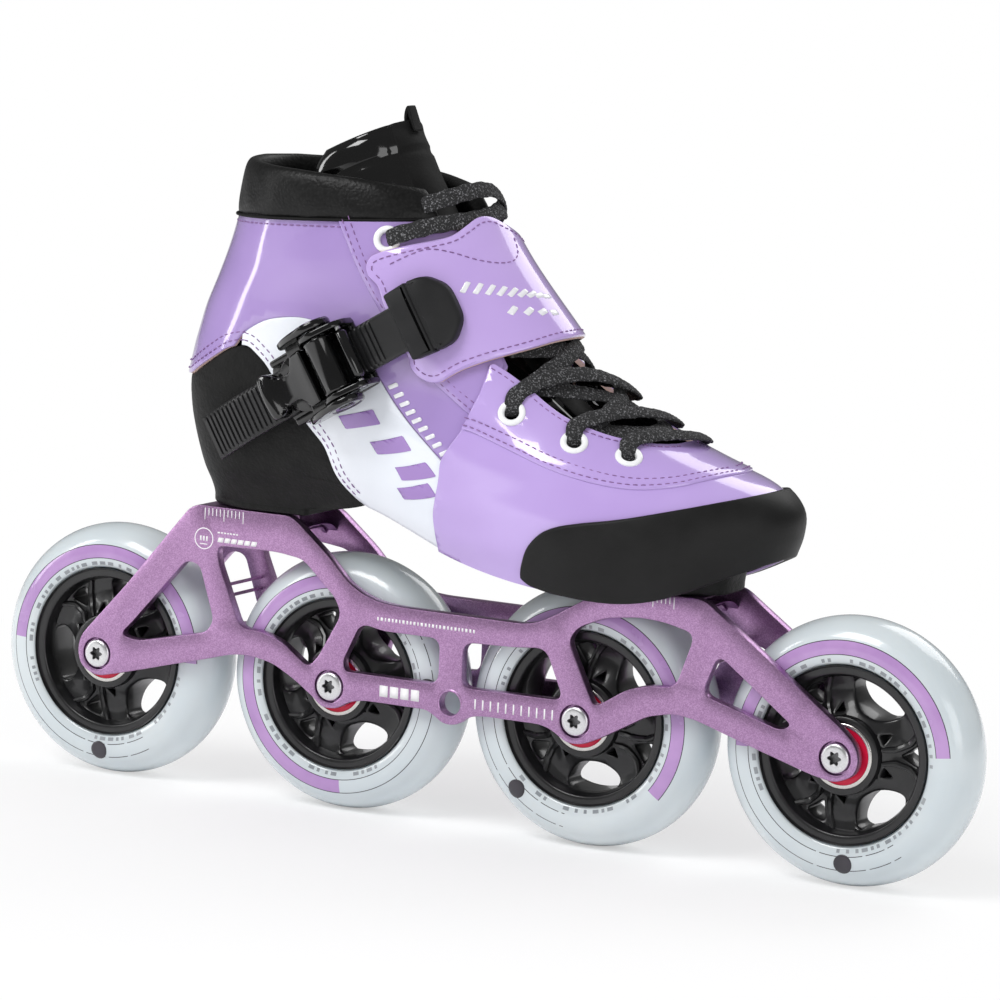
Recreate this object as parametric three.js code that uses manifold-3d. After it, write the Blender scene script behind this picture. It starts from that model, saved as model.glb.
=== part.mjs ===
// Kids' four-wheel inline speed skate, right foot. Units mm.
// +Z up from the ground, +X toward the toe, +Y to the medial side.
import * as THREE from 'three';
import { mergeVertices } from 'three/addons/utils/BufferGeometryUtils.js';
import Module from 'manifold-3d';

const wasm = await Module();
wasm.setup();

// ---- driving dimensions ----
const WHEEL_R = 45;
const WHEEL_W = 24;
const HUB_R = 29.6;
const AXLE_Z = WHEEL_R;
const WHEELBASE = 286;
const PITCH = WHEELBASE / 3;
const AXLE_X = [-WHEELBASE / 2, -PITCH / 2, PITCH / 2, WHEELBASE / 2];
const AXLE_R = 3.8;
const FRAME_Y = 17.2;            // outer face of the frame walls
const WALL = 4.0;
const BOSS_Y = 12.45;            // inner face of the axle bosses
const SHELL_T = 2.4;             // thickness of the outer boot layer
// Bridges are boxes in x and z, mounts are 165 apart; insert is the z range of the threaded insert.
const BRIDGE_ARCH = 0.6;         // rise of a bridge's underside at the middle
const REAR = {
  tag: 'rear', x: -85, bridge: { x0: -103, x1: -64, z0: 97, z1: 102.7 },
  insert: [103.6, 110.8], boltTip: 112.6,
};
const FRONT = {
  tag: 'front', x: 80, bridge: { x0: 66, x1: 92, z0: 87.4, z1: 91.8 },
  insert: [92.6, 96.5], boltTip: 96.4,
};
const MOUNTS = [REAR, FRONT];
// The origin is under the middle of the whole skate. The buckle widens the lateral side,
// so the wheels' mid-plane, y = 0 in the code below, is moved to this y.
const SIDE_SHIFT = 3.472;

// ---- materials ----
const standard = (options) => new THREE.MeshStandardMaterial(options);
const materials = {
  tyre: standard({ color: 0xd9dde0, roughness: 0.35 }),
  hub: standard({ color: 0x0b0b0c, roughness: 0.25 }),
  race: standard({ color: 0xc9c6c0, roughness: 0.25, metalness: 1 }),
  shield: standard({ color: 0xb8102a, roughness: 0.35, metalness: 0.2 }),
  bolt: standard({ color: 0xc8c8ca, roughness: 0.3, metalness: 1 }),
  steel: standard({ color: 0x8f9194, roughness: 0.35, metalness: 1 }),
  frame: standard({ color: 0xb987bd, roughness: 0.35, metalness: 0.85 }),
  shell: standard({ color: 0x141414, roughness: 0.8 }),
  lilac: standard({ color: 0xb497d3, roughness: 0.12 }),
  white: standard({ color: 0xeef1f4, roughness: 0.15 }),
  rubber: standard({ color: 0x111111, roughness: 0.75 }),
  leather: standard({ color: 0x141414, roughness: 0.55 }),
  patent: standard({ color: 0x060606, roughness: 0.08 }),
  lace: standard({ color: 0x1c1c1c, roughness: 0.9 }),
  foam: standard({ color: 0x18181a, roughness: 0.95 }),
  gloss: standard({ color: 0x050505, roughness: 0.12 }),
  strap: standard({ color: 0x0e0e0e, roughness: 0.5 }),
};

// ---- meshes and booleans ----
const group = new THREE.Group();

function meshGeometry(positions, triangles) {
  const geometry = new THREE.BufferGeometry();
  geometry.setAttribute('position', new THREE.BufferAttribute(new Float32Array(positions), 3));
  geometry.setIndex(triangles);
  return geometry;
}

// Welded, outward-facing copy with positions only.
function weld(source) {
  let geometry = source.clone();
  for (const key of Object.keys(geometry.attributes)) {
    if (key !== 'position') geometry.deleteAttribute(key);
  }
  geometry = mergeVertices(geometry, 1e-4);
  const old = geometry.index.array;
  const kept = [];
  let volume = 0;
  for (let i = 0; i < old.length; i += 3) {
    const triangle = [old[i], old[i + 1], old[i + 2]];
    if (new Set(triangle).size < 3) continue;
    kept.push(...triangle);
    const [first, second, third] = triangle.map(
      (k) => new THREE.Vector3().fromBufferAttribute(geometry.attributes.position, k));
    volume += first.dot(second.cross(third));
  }
  if (volume < 0) {
    for (let i = 0; i < kept.length; i += 3) [kept[i], kept[i + 1]] = [kept[i + 1], kept[i]];
  }
  geometry.setIndex(kept);
  return geometry;
}

function toManifold(shape) {
  if (shape.getMesh) return shape;
  const geometry = weld(shape);
  return new wasm.Manifold(new wasm.Mesh({
    numProp: 3,
    vertProperties: new Float32Array(geometry.attributes.position.array),
    triVerts: new Uint32Array(geometry.index.array),
  }));
}

function fromManifold(manifold) {
  const mesh = manifold.getMesh();
  return meshGeometry(mesh.vertProperties, Array.from(mesh.triVerts));
}

const union = (...shapes) => shapes.map(toManifold).reduce((body, part) => body.add(part));
const cut = (body, ...tools) =>
  tools.reduce((rest, tool) => rest.subtract(toManifold(tool)), toManifold(body));
const biggest = (manifold) => manifold.decompose().sort((a, b) => b.volume() - a.volume())[0];

function addPiece(name, shape, material) {
  const geometry = shape.getMesh ? fromManifold(shape) : weld(shape);
  geometry.translate(0, SIDE_SHIFT, 0);
  geometry.computeVertexNormals();
  const mesh = new THREE.Mesh(geometry, material);
  mesh.name = name;
  group.add(mesh);
}

// ---- outlines ----
function polygon(points, Type = THREE.Shape) {
  const path = new Type();
  points.forEach(([x, y], i) => (i ? path.lineTo(x, y) : path.moveTo(x, y)));
  path.closePath();
  return path;
}

// Polygon with each corner cut to a curve of the given steps; a point's third entry is its own radius.
function rounded(points, radius, steps, Type) {
  const count = points.length;
  const out = [];
  points.forEach((corner, i) => {
    const [x, y] = corner;
    const before = points[(i + count - 1) % count];
    const after = points[(i + 1) % count];
    const back = [before[0] - x, before[1] - y];
    const ahead = [after[0] - x, after[1] - y];
    const backLength = Math.hypot(...back);
    const aheadLength = Math.hypot(...ahead);
    const cosine = (back[0] * ahead[0] + back[1] * ahead[1]) / backLength / aheadLength;
    const reach = Math.min(corner[2] ?? radius, backLength * 0.45, aheadLength * 0.45);
    if (cosine < -0.97 || reach < 0.3) {
      out.push([x, y]);
      return;
    }
    const start = [x + back[0] / backLength * reach, y + back[1] / backLength * reach];
    const end = [x + ahead[0] / aheadLength * reach, y + ahead[1] / aheadLength * reach];
    for (let k = 0; k <= steps; k++) {
      const t = k / steps;
      const m = 1 - t;
      out.push([
        m * m * start[0] + 2 * m * t * x + t * t * end[0],
        m * m * start[1] + 2 * m * t * y + t * t * end[1],
      ]);
    }
  });
  return polygon(out, Type);
}

function disc([x, y], radius, sides, Type) {
  return polygon(Array.from({ length: sides }, (_, i) => {
    const angle = i / sides * 2 * Math.PI + Math.PI / sides;
    return [x + radius * Math.cos(angle), y + radius * Math.sin(angle)];
  }), Type);
}

// ---- extrusions and revolved bodies ----
const extrude = (shape, depth, curveSegments) =>
  new THREE.ExtrudeGeometry(shape, { depth, bevelEnabled: false, curveSegments });
// rows: the top three rows of the placement matrix
const place = (geometry, rows) =>
  geometry.applyMatrix4(new THREE.Matrix4().set(...rows, 0, 0, 0, 1));

// Extrusions of a (y,z), (x,z) or (x,y) outline along the named axis.
const prismX = (shape, x0, x1) =>
  place(extrude(shape, x1 - x0), [0, 0, 1, x0, 1, 0, 0, 0, 0, 1, 0, 0]);
const prismY = (shape, y0, y1) =>
  place(extrude(shape, y1 - y0), [1, 0, 0, 0, 0, 0, -1, y1, 0, 1, 0, 0]);
const prismZ = (shape, z0, z1, curveSegments) =>
  extrude(shape, z1 - z0, curveSegments).translate(0, 0, z0);

// Profiles are [radius, position along the axis].
const closed = (profile) => [...profile, profile[0]];
const tube = (inner, outer, from, to) =>
  closed([[inner, from], [outer, from], [outer, to], [inner, to]]);
const lathe = (profile, segments, phase) =>
  new THREE.LatheGeometry(profile.map((point) => new THREE.Vector2(...point)), segments, phase);
const latheY = (profile, x, z, segments, phase) =>
  lathe(profile, segments, phase).translate(x, 0, z);
const latheZ = (profile, x, segments) =>
  lathe(profile, segments).rotateX(Math.PI / 2).translate(x, 0, 0);
const cylinderY = (radius, y0, y1, x, z, segments) =>
  new THREE.CylinderGeometry(radius, radius, y1 - y0, segments).translate(x, (y0 + y1) / 2, z);
const cylinderZ = (radius, z0, z1, x, segments) =>
  new THREE.CylinderGeometry(radius, radius, z1 - z0, segments)
    .rotateX(Math.PI / 2).translate(x, 0, (z0 + z1) / 2);

// ---- frame: two walls, two mounting bridges, cross webs ----
const AXLE_HOLE_R = AXLE_R + 0.45;
const CENTRE_HOLE_R = 4.0;
const BOSS_R = 5.7;
const CBORE_R = 5.6;
const CBORE_DEPTH = 2.4;
const SPAN_Y = FRAME_Y - WALL + 0.6;      // half span of cross members, sunk into the walls
const WEB = { length: 3.2, height: 4.5, z: 72 };
const SLOT = { r: 3.6, halfTravel: 3 };

// Wall outline [x, z], clockwise as seen with x right and z up.
const WALL_OUTLINE = [
  [-151.3, 45.5], [-149.9, 51.1], [-131.7, 71.1], [-115, 91.1], [-106.6, 101], [-103, 102.7],
  [-66.1, 102.6], [-62.8, 100.9], [-49.4, 90], [-41.7, 82.2], [-36.1, 78.9], [-29.4, 76.7],
  [-20.6, 75.9], [26.7, 75.8], [33, 77.2], [40, 81], [50, 87], [56.7, 90.2], [64, 91.8],
  [93, 91.8], [110, 79.9], [128.9, 66.4], [145.9, 54.2], [150.3, 49.8], [151.6, 44.5],
  [149.7, 39.6], [143.3, 36.8], [134.4, 38.5], [112.2, 45], [92.2, 51.1], [84.4, 52.2],
  [74.4, 50], [67.8, 46.1], [56.7, 40], [50.5, 37.3], [44.8, 37.2], [38.9, 41], [34.4, 42.2],
  [12.2, 42.2], [6.7, 41.1], [3, 37.8], [-2.4, 37.6], [-6, 40], [-9.4, 41.7], [-33.9, 41.7],
  [-39.4, 40.6], [-44.6, 37.3], [-50.6, 37.4], [-53.9, 40.4], [-61.7, 45.6], [-70.6, 50.2],
  [-80, 51.9], [-87.2, 51.4], [-98.3, 48.3], [-115, 43.9], [-131.7, 39.4], [-143, 36.8],
  [-149.6, 39.8],
];
// Wall windows from heel to toe: [x, z, corner radius if not the default].
const WINDOWS = [
  [[-95.2, 62.5, 4], [-98, 58], [-126.1, 51.7], [-133.5, 53, 3], [-128.3, 58.3], [-107, 82.5],
    [-101.5, 81.5, 4]],
  [[-94.6, 89, 4], [-70.6, 89.4], [-60, 88], [-46.5, 76], [-44, 70.5, 4], [-52.8, 54.4],
    [-56.5, 50.8, 3], [-67.2, 58.3], [-76, 61.1], [-84.2, 61, 4], [-93.9, 83.3]],
  [[-41.5, 51.1, 3], [-42.5, 54.4], [-36, 68.5, 4], [-27.2, 66.7], [-5, 66.8, 4], [-5, 51.1, 4]],
  [[4.2, 66.6, 4], [23.3, 67.2], [35.6, 68.4, 4], [43, 51.6, 4], [4.2, 51.1, 4]],
  [[44, 72, 3], [47.5, 77], [58, 81.4], [70, 82.9], [79, 82.4], [90.6, 79.8, 4], [84.3, 61, 4],
    [74.4, 60.6], [66.7, 58.3], [54.6, 50.6, 3]],
  [[94.2, 60.1, 4], [99.5, 74, 4], [127, 53.8, 3], [123, 51.8]],
];

function wallShape() {
  const shape = polygon([...WALL_OUTLINE].reverse());
  for (const window of WINDOWS) shape.holes.push(rounded(window, 2.2, 1, THREE.Path));
  for (const x of AXLE_X) shape.holes.push(disc([x, AXLE_Z], AXLE_HOLE_R, 8, THREE.Path));
  shape.holes.push(disc([0, AXLE_Z], CENTRE_HOLE_R, 10, THREE.Path));
  return shape;
}

// Flat top, arched underside.
function makeBridge({ x0, x1, z0, z1 }) {
  return prismX(polygon([
    [-SPAN_Y, z1], [-SPAN_Y, z0 - 3.2], [-10, z0 - 0.4], [-5, z0 + BRIDGE_ARCH],
    [5, z0 + BRIDGE_ARCH], [10, z0 - 0.4], [SPAN_Y, z0 - 3.2], [SPAN_Y, z1],
  ]), x0, x1);
}

function makeMountSlot(x) {
  const shape = new THREE.Shape();
  shape.absarc(x - SLOT.halfTravel, 0, SLOT.r, Math.PI / 2, 3 * Math.PI / 2);
  shape.absarc(x + SLOT.halfTravel, 0, SLOT.r, -Math.PI / 2, Math.PI / 2);
  shape.closePath();
  return prismZ(shape, 80, 110, 4);
}

function makeFrame() {
  let frame = union(
    prismY(wallShape(), -FRAME_Y, -FRAME_Y + WALL),
    prismY(wallShape(), FRAME_Y - WALL, FRAME_Y),
    ...MOUNTS.map(({ bridge }) => makeBridge(bridge)),
    ...[-PITCH, PITCH].map((x) =>
      new THREE.BoxGeometry(WEB.length, 2 * SPAN_Y, WEB.height).translate(x, 0, WEB.z)),
  );
  const bossRoot = FRAME_Y - WALL + 0.5;
  const makeBoss = (x, from, to) =>
    latheY(tube(AXLE_HOLE_R, BOSS_R, from, to), x, AXLE_Z, 8, Math.PI / 8);
  for (const x of AXLE_X) {
    frame = union(frame, makeBoss(x, -bossRoot, -BOSS_Y));
    // counterbore for the axle head, lateral side only
    frame = cut(frame, cylinderY(CBORE_R, -FRAME_Y - 1, -FRAME_Y + CBORE_DEPTH, x, AXLE_Z, 12));
    frame = union(frame, makeBoss(x, BOSS_Y, bossRoot));
  }
  return cut(frame, ...MOUNTS.map(({ x }) => makeMountSlot(x)));
}

addPiece('frame', makeFrame(), materials.frame);

// ---- wheels ----
const TYRE_SEGMENTS = 20;
const HUB_SEGMENTS = 14;
const BEARING_SEGMENTS = 12;
const BEARING = { outerR: 11.0, boreR: 4.2, width: 7.0, outerY: 12.1 };
const SHIELD = { innerR: 6.8, recessR: 9.4, step: 0.5 };
const RACE_R = 6.0;                       // outer radius of the inner race and the spacer
const SPACER_Y = 4.8;
const AXLE_HEAD_R = 5.0;
const OPENING_ANGLES = [70, 51, 36, 64];  // direction of one large hub opening, degrees

// Profiles [radius, y].
const TYRE = [
  [30.1, -10.6], [34, -WHEEL_W / 2], [40.8, -9.9], [44.2, -5], [WHEEL_R, 0], [44.2, 5],
  [40.8, 9.9], [34, WHEEL_W / 2], [30.1, 10.6],
];
const HUB = [
  [8.6, -4.7], [8.6, 4.7], [11.4, 4.7], [11.4, 12], [13.1, 12], [13.6, 3.6], [26.2, 3.6],
  [26.8, 10.2], [HUB_R, 10.2], [HUB_R, -10.2], [26.8, -10.2], [26.2, -3.6], [13.6, -3.6],
  [13.1, -12], [11.4, -12], [11.4, -4.7],
];
const AXLE = [
  [0, -17.7], [4.3, -17.7], [AXLE_HEAD_R, -17.2], [AXLE_HEAD_R, -15.1], [AXLE_R, -15.1],
  [AXLE_R, 16.7], [0, 16.7],
];
// Hub openings [radial, tangential].
const LARGE_OPENING = [[15.2, 6], [22.5, 9.8], [24.6, 0], [22.5, -9.8], [15.2, -6]];
const SMALL_OPENING = [[18.6, 0], [24.6, 3.6], [24.6, -3.6]];

// Three large openings with a small triangular one between each pair.
function makeHub(wheelX, openingAngle) {
  const turned = (points, angle) => {
    const c = Math.cos(angle);
    const s = Math.sin(angle);
    return points.map(([r, t]) => [wheelX + r * c - t * s, AXLE_Z + r * s + t * c]);
  };
  let hub = latheY(closed(HUB), wheelX, AXLE_Z, HUB_SEGMENTS);
  for (let k = 0; k < 3; k++) {
    const angle = (openingAngle + 120 * k) * Math.PI / 180;
    hub = cut(hub,
      prismY(rounded(turned(LARGE_OPENING, angle), 4, 1), -5, 5),
      prismY(polygon(turned(SMALL_OPENING, angle + Math.PI / 3)), -5, 5));
  }
  return hub;
}

// C-shaped section: outer ring and both shields; side is -1 lateral, 1 medial.
function bearingOuterProfile(side) {
  const out = side * BEARING.outerY;
  const inn = side * (BEARING.outerY - BEARING.width);
  const step = side * SHIELD.step;
  return closed([
    [BEARING.outerR, out], [SHIELD.innerR, out - step], [SHIELD.innerR, out - 2 * step],
    [SHIELD.recessR, out - 2 * step], [SHIELD.recessR, inn + 2 * step],
    [SHIELD.innerR, inn + 2 * step], [SHIELD.innerR, inn + step], [BEARING.outerR, inn],
  ]);
}

const bearingInnerProfile = (side) => tube(
  BEARING.boreR, RACE_R, side * BEARING.outerY, side * (BEARING.outerY - BEARING.width));

function addWheel(x, i) {
  const number = i + 1;
  const turn = (profile, segments) => latheY(profile, x, AXLE_Z, segments);
  addPiece(`tyre_${number}`, turn(closed(TYRE), TYRE_SEGMENTS), materials.tyre);
  addPiece(`hub_${number}`, makeHub(x, OPENING_ANGLES[i]), materials.hub);
  for (const [sideName, side] of [['lateral', -1], ['medial', 1]]) {
    addPiece(`bearing_outer_${number}_${sideName}`,
      turn(bearingOuterProfile(side), BEARING_SEGMENTS), materials.shield);
    addPiece(`bearing_inner_${number}_${sideName}`,
      turn(bearingInnerProfile(side), BEARING_SEGMENTS), materials.race);
  }
  addPiece(`spacer_${number}`,
    turn(tube(BEARING.boreR, RACE_R, -SPACER_Y, SPACER_Y), BEARING_SEGMENTS), materials.steel);
  const hexSocket = cylinderY(2.3, -19, -15.9, x, AXLE_Z, 6);
  addPiece(`axle_${number}`, cut(turn(AXLE, BEARING_SEGMENTS), hexSocket), materials.bolt);
}

AXLE_X.forEach(addWheel);

// ---- boot surface, charted by (v, u) ----
// v: ring index from the sole edge (0) to the collar rim (12).
// u: 0 heel, 0..1 along the lateral side to the front, 1..2 (or negative) the medial side.
// Columns: heel x, z, front x, z, heel and front blend lengths, sole-profile weight,
// half widths (heel, waist, ball, toe) lateral then medial, sideways shift of the front end.
const RINGS = [
  [-104.5, 108, 111.0, 106, 26, 50, 1.00, 23, 25, 34, 31, 22, 21, 33, 31, 6],
  [-107.5, 115, 113.0, 113, 28, 50, 0.85, 27, 29, 38, 34, 26, 24, 36, 34, 6],
  [-109.5, 122, 112.5, 120, 29, 50, 0.60, 29.5, 31.5, 39.5, 35, 29, 27, 38, 35, 6],
  [-111.5, 130, 105.0, 126.5, 30, 50, 0.35, 31, 33, 39, 35, 30.5, 30, 38, 35, 6],
  [-112.8, 138, 89.0, 132.5, 30, 52, 0.15, 32, 34, 37.5, 34, 31.5, 32, 37, 34, 5],
  [-113.2, 147, 71.5, 139.5, 30, 52, 0.05, 32.5, 34.5, 35, 32, 32, 33.5, 35, 32, 4],
  [-111.4, 157, 54.5, 148.0, 30, 50, 0.0, 32.5, 34.5, 33, 30, 32, 34, 33, 30, 3],
  [-108.3, 168, 38.5, 160.0, 30, 48, 0.0, 32, 34.5, 33, 29, 32, 34.5, 33, 29, 2],
  [-104.0, 180, 24.5, 175.0, 30, 46, 0.0, 31.5, 34, 33, 29, 31.5, 34, 33, 29, 1],
  [-99.0, 192, 10.5, 192.0, 29, 44, 0.0, 31, 33.5, 32.5, 28, 31, 33.5, 32.5, 28, 0],
  [-95.0, 204, -1.0, 208.0, 28, 42, 0.0, 31, 33, 32, 28, 31, 33, 32, 28, 0],
  [-92.6, 216, -10.0, 221.0, 28, 40, 0.0, 31, 33, 31, 27, 31, 33, 31, 27, 0],
  [-92.0, 228, -17.0, 233.0, 28, 38, 0.0, 30, 32, 30, 26, 30, 32, 30, 26, 0],
];
const LAST_RING = RINGS.length - 1;
// Height of the sole profile above the heel-to-front line at equal steps.
const SOLE = [0, 5.2, 3.3, -9, -14.5, -14.8, 0.0];

const clamp = (x, low, high) => Math.min(high, Math.max(low, x));
const lerp = (a, b, t) => a + (b - a) * t;
function ease(x) {
  const t = clamp(x, 0, 1);
  return t * t * (3 - 2 * t);
}
function interpolate(x, xs, ys) {
  if (x <= xs[0]) return ys[0];
  for (let i = 1; i < xs.length; i++) {
    if (x <= xs[i]) return lerp(ys[i - 1], ys[i], (x - xs[i - 1]) / (xs[i] - xs[i - 1]));
  }
  return ys[ys.length - 1];
}

// Catmull-Rom blend of the ring table at a fractional v.
function ringAt(v) {
  const t = clamp(v, 0, LAST_RING - 1e-9);
  const i = Math.floor(t);
  const f = t - i;
  return RINGS[0].map((_, column) => {
    const p1 = RINGS[i][column];
    const p2 = RINGS[i + 1][column];
    const p0 = i < 1 ? 2 * p1 - p2 : RINGS[i - 1][column];
    const p3 = i + 2 > LAST_RING ? 2 * p2 - p1 : RINGS[i + 2][column];
    return 0.5 * (2 * p1 + (p2 - p0) * f + (2 * p0 - 5 * p1 + 4 * p2 - p3) * f * f
      + (3 * p1 - p0 - 3 * p2 + p3) * f * f * f);
  });
}

const roundEnd = (t) => Math.sqrt(Math.max(0, 1 - (1 - Math.min(t, 1)) ** 2));

function surfacePoint(v, u) {
  const around = ((u % 2) + 2) % 2;
  const lateral = around <= 1;
  const along = (1 - Math.cos(Math.PI * (lateral ? around : 2 - around))) / 2;
  const ring = ringAt(v);
  const [heelX, heelZ, frontX, frontZ, heelBlend, frontBlend, soleWeight] = ring;
  const [heel, waist, ball, toe] = lateral ? ring.slice(7, 11) : ring.slice(11, 15);
  const length = frontX - heelX;
  const fullWidth = heel + (waist - heel) * ease((along - 0.1) / 0.32)
    + (ball - waist) * ease((along - 0.42) / 0.30) + (toe - ball) * ease((along - 0.72) / 0.28);
  const halfWidth = fullWidth * roundEnd(along * length / heelBlend)
    * roundEnd((1 - along) * length / frontBlend);
  const centre = ring[15] * ease((along - 0.35) / 0.65);
  return new THREE.Vector3(
    heelX + along * length,
    centre + (lateral ? -halfWidth : halfWidth),
    heelZ + (frontZ - heelZ) * along
      + soleWeight * interpolate(along * 6, [0, 1, 2, 3, 4, 5, 6], SOLE),
  );
}

// Outward unit normal, averaged over a small patch.
function surfaceNormal(v, u) {
  const stepU = 0.03;
  const stepV = 0.12;
  const alongU = surfacePoint(v, u + stepU).sub(surfacePoint(v, u - stepU));
  const alongV = surfacePoint(Math.min(LAST_RING, v + stepV), u)
    .sub(surfacePoint(Math.max(0, v - stepV), u));
  return alongU.cross(alongV).normalize();
}

const offsetPoint = (v, u, distance) =>
  surfacePoint(v, u).addScaledVector(surfaceNormal(v, u), distance).toArray();

// Closed sheet over a grid; pointAt(i, j, outer) has outer 0 or 1; loop joins the last column
// to the first.
function sheet(rows, columns, pointAt, loop = false) {
  const positions = [];
  const triangles = [];
  for (let outer = 0; outer < 2; outer++) {
    for (let i = 0; i < rows; i++) {
      for (let j = 0; j < columns; j++) positions.push(...pointAt(i, j, outer));
    }
  }
  const id = (outer, i, j) => (outer * rows + i) * columns + (j % columns);
  const quad = (a, b, c, d) => triangles.push(a, b, c, a, c, d);
  const spans = loop ? columns : columns - 1;
  const last = rows - 1;
  for (let i = 0; i < last; i++) {
    for (let j = 0; j < spans; j++) {
      quad(id(1, i, j), id(1, i, j + 1), id(1, i + 1, j + 1), id(1, i + 1, j));
      quad(id(0, i, j), id(0, i + 1, j), id(0, i + 1, j + 1), id(0, i, j + 1));
    }
  }
  for (let j = 0; j < spans; j++) {
    quad(id(0, 0, j), id(0, 0, j + 1), id(1, 0, j + 1), id(1, 0, j));
    quad(id(1, last, j), id(1, last, j + 1), id(0, last, j + 1), id(0, last, j));
  }
  if (!loop) {
    for (let i = 0; i < last; i++) {
      quad(id(1, i, 0), id(1, i + 1, 0), id(0, i + 1, 0), id(0, i, 0));
      quad(id(0, i, spans), id(0, i + 1, spans), id(1, i + 1, spans), id(1, i, spans));
    }
  }
  return meshGeometry(positions, triangles);
}

// Sheet between two offsets from columns us, with bottom and top v limits per column.
const patch = (us, bottom, top, steps, inner, outer) =>
  sheet(steps + 1, us.length, (i, j, isOuter) => offsetPoint(
    lerp(bottom(us[j]), top(us[j]), i / steps), us[j], isOuter ? outer : inner));
// Shell-thick sheet from rows vs, with start and end u limits per row, divided at the fractions.
const strip = (vs, start, end, fractions) =>
  sheet(vs.length, fractions.length, (i, j, isOuter) => offsetPoint(
    vs[i], lerp(start(vs[i]), end(vs[i]), fractions[j]), isOuter ? 0 : -SHELL_T));
// Columns on both sides, mirrored through the heel (u = 0) or through the toe (u = 1).
const mirrorHeel = (us) => [...us.slice(1).reverse().map((u) => -u), ...us];
const mirrorToe = (us) => [...us, ...us.slice(0, -1).reverse().map((u) => 2 - u)];

// ---- boot shell: heel cup, sole plate, heel pedestal and toe mounting block ----
const shellTop = (u) => interpolate(Math.abs(u),
  [0, 0.133, 0.223, 0.291, 0.326, 0.352, 0.362], [4.9, 5.2, 6.0, 6.55, 6.42, 5.8, 5.2]);
const shellEdge = (v) => interpolate(v,
  [0, 0.21, 1.8, 4.3, 5.3], [0.43, 0.385, 0.371, 0.375, 0.362]);

// Lateral and medial points of the sole edge at a fraction of the length.
function soleEdges(along) {
  const u = Math.acos(1 - 2 * along) / Math.PI;
  return [surfacePoint(0, u), surfacePoint(0, 2 - u)];
}

function makeSolePlate() {
  const steps = 15;
  const stepsAcross = 4;
  return sheet(steps + 1, stepsAcross + 1, (i, j, upper) => {
    const along = lerp(0.012, 0.988, i / steps);
    const [lateral, medial] = soleEdges(along);
    const inset = lerp(0.8, 3.8, ease((along - 0.26) / 0.1));
    const pullIn = along < 0.5
      ? Math.min(1, inset / 3) * 2.2 * (1 - along * 2)
      : -inset * 1.2 * (along * 2 - 1);
    const across = j / stepsAcross;
    return [
      lateral.x + pullIn * 0.9,
      lerp(lateral.y + inset, medial.y - inset, across),
      Math.max(92.2, lerp(lateral.z, medial.z, across) + (upper ? 4.4 : -0.4)),
    ];
  });
}

function makeHeelPedestal() {
  const plan = new THREE.Shape();
  plan.moveTo(-58, -17.5);
  plan.lineTo(-58, 17.5);
  plan.lineTo(-88, 19);
  plan.quadraticCurveTo(-103.5, 18, -104, 0);
  plan.quadraticCurveTo(-103.5, -18, -88, -19);
  plan.closePath();
  const side = polygon([
    [-103, 103.2], [-61, 103.2], [-57, 106], [-57, 115.5], [-85, 113], [-106, 110.5],
  ]);
  return toManifold(prismZ(plan, 100, 120, 5)).intersect(toManifold(prismY(side, -25, 25)));
}

function makeBootShell() {
  const us = mirrorHeel([0, 0.05, 0.1, 0.15, 0.21, 0.28, 0.33, 0.362]);
  const toeBlock = rounded([[56, -17], [56, 17], [84, 17], [94, 8], [94, -8], [84, -17]], 4, 2);
  const shell = union(
    patch(us, () => 0, shellTop, 5, -SHELL_T, 0),
    ...[1, -1].map((side) => strip(
      [0, 0.21, 1.8, 3.4, 4.8], () => side * 0.35, (v) => side * shellEdge(v), [0, 1])),
    makeSolePlate(),
    makeHeelPedestal(),
    prismZ(toeBlock, 92.2, 97),
  );
  return cut(shell,
    cylinderZ(5.5, 100, 111.2, REAR.x, 14),
    cylinderZ(5.5, 90, 96.9, FRONT.x, 14),
    cylinderZ(3.4, 100, 113.2, REAR.x, 10));
}

function makeInsole() {
  const margin = 7;
  return sheet(16, 4, (i, j, upper) => {
    const [lateral, medial] = soleEdges(lerp(0.045, 0.945, i / 15));
    return [
      lateral.x,
      lerp(lateral.y + margin, medial.y - margin, j / 3),
      lerp(lateral.z, medial.z, j / 3) + (upper ? 9.0 : 6.4),
    ];
  });
}

addPiece('boot_shell', makeBootShell(), materials.shell);
addPiece('insole', makeInsole(), materials.foam);

// ---- side panels between heel cup and vamp ----
const panelRear = (v) => interpolate(v, [0, 0.3, 1.8, 4.3, 5.85, 6.5, 6.9, 7.35, 7.6],
  [0.442, 0.392, 0.376, 0.380, 0.357, 0.331, 0.315, 0.36, 0.42]);
const panelFront = (v) => interpolate(v,
  [0, 1.8, 3.2, 6.6, 7.2, 7.6], [0.480, 0.486, 0.524, 0.526, 0.50, 0.45]);

for (const [sideName, side] of [['lateral', 1], ['medial', -1]]) {
  const panel = strip([0.02, 0.3, 1.1, 1.8, 3.2, 4.3, 5.85, 6.5, 6.9, 7.3, 7.56],
    (v) => side * panelRear(v), (v) => side * panelFront(v), [0, 0.33, 0.67, 1]);
  addPiece(`side_panel_${sideName}`, panel, materials.white);
}

// ---- quarter and vamp, the laced parts of the upper ----
// Eyelets [u, v] on the lateral side, top first; the top pair is in the quarter.
const EYELETS = [[0.652, 9.68], [0.707, 5.74], [0.756, 4.86], [0.813, 4.44]];
const EYELET_R = 2.6;
const EYELET_RING = closed([[EYELET_R, -1.2], [4.7, -1.2], [4.5, 0.95], [EYELET_R, 0.95]]);
const EYELET_HOLE = [[0, -5], [EYELET_R, -5], [EYELET_R, 4], [0, 4]];

function onSurface(profile, u, v) {
  const turn = new THREE.Quaternion()
    .setFromUnitVectors(new THREE.Vector3(0, 1, 0), surfaceNormal(v, u));
  const { x, y, z } = surfacePoint(v, u);
  return lathe(profile, 8).applyQuaternion(turn).translate(x, y, z);
}

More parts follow.
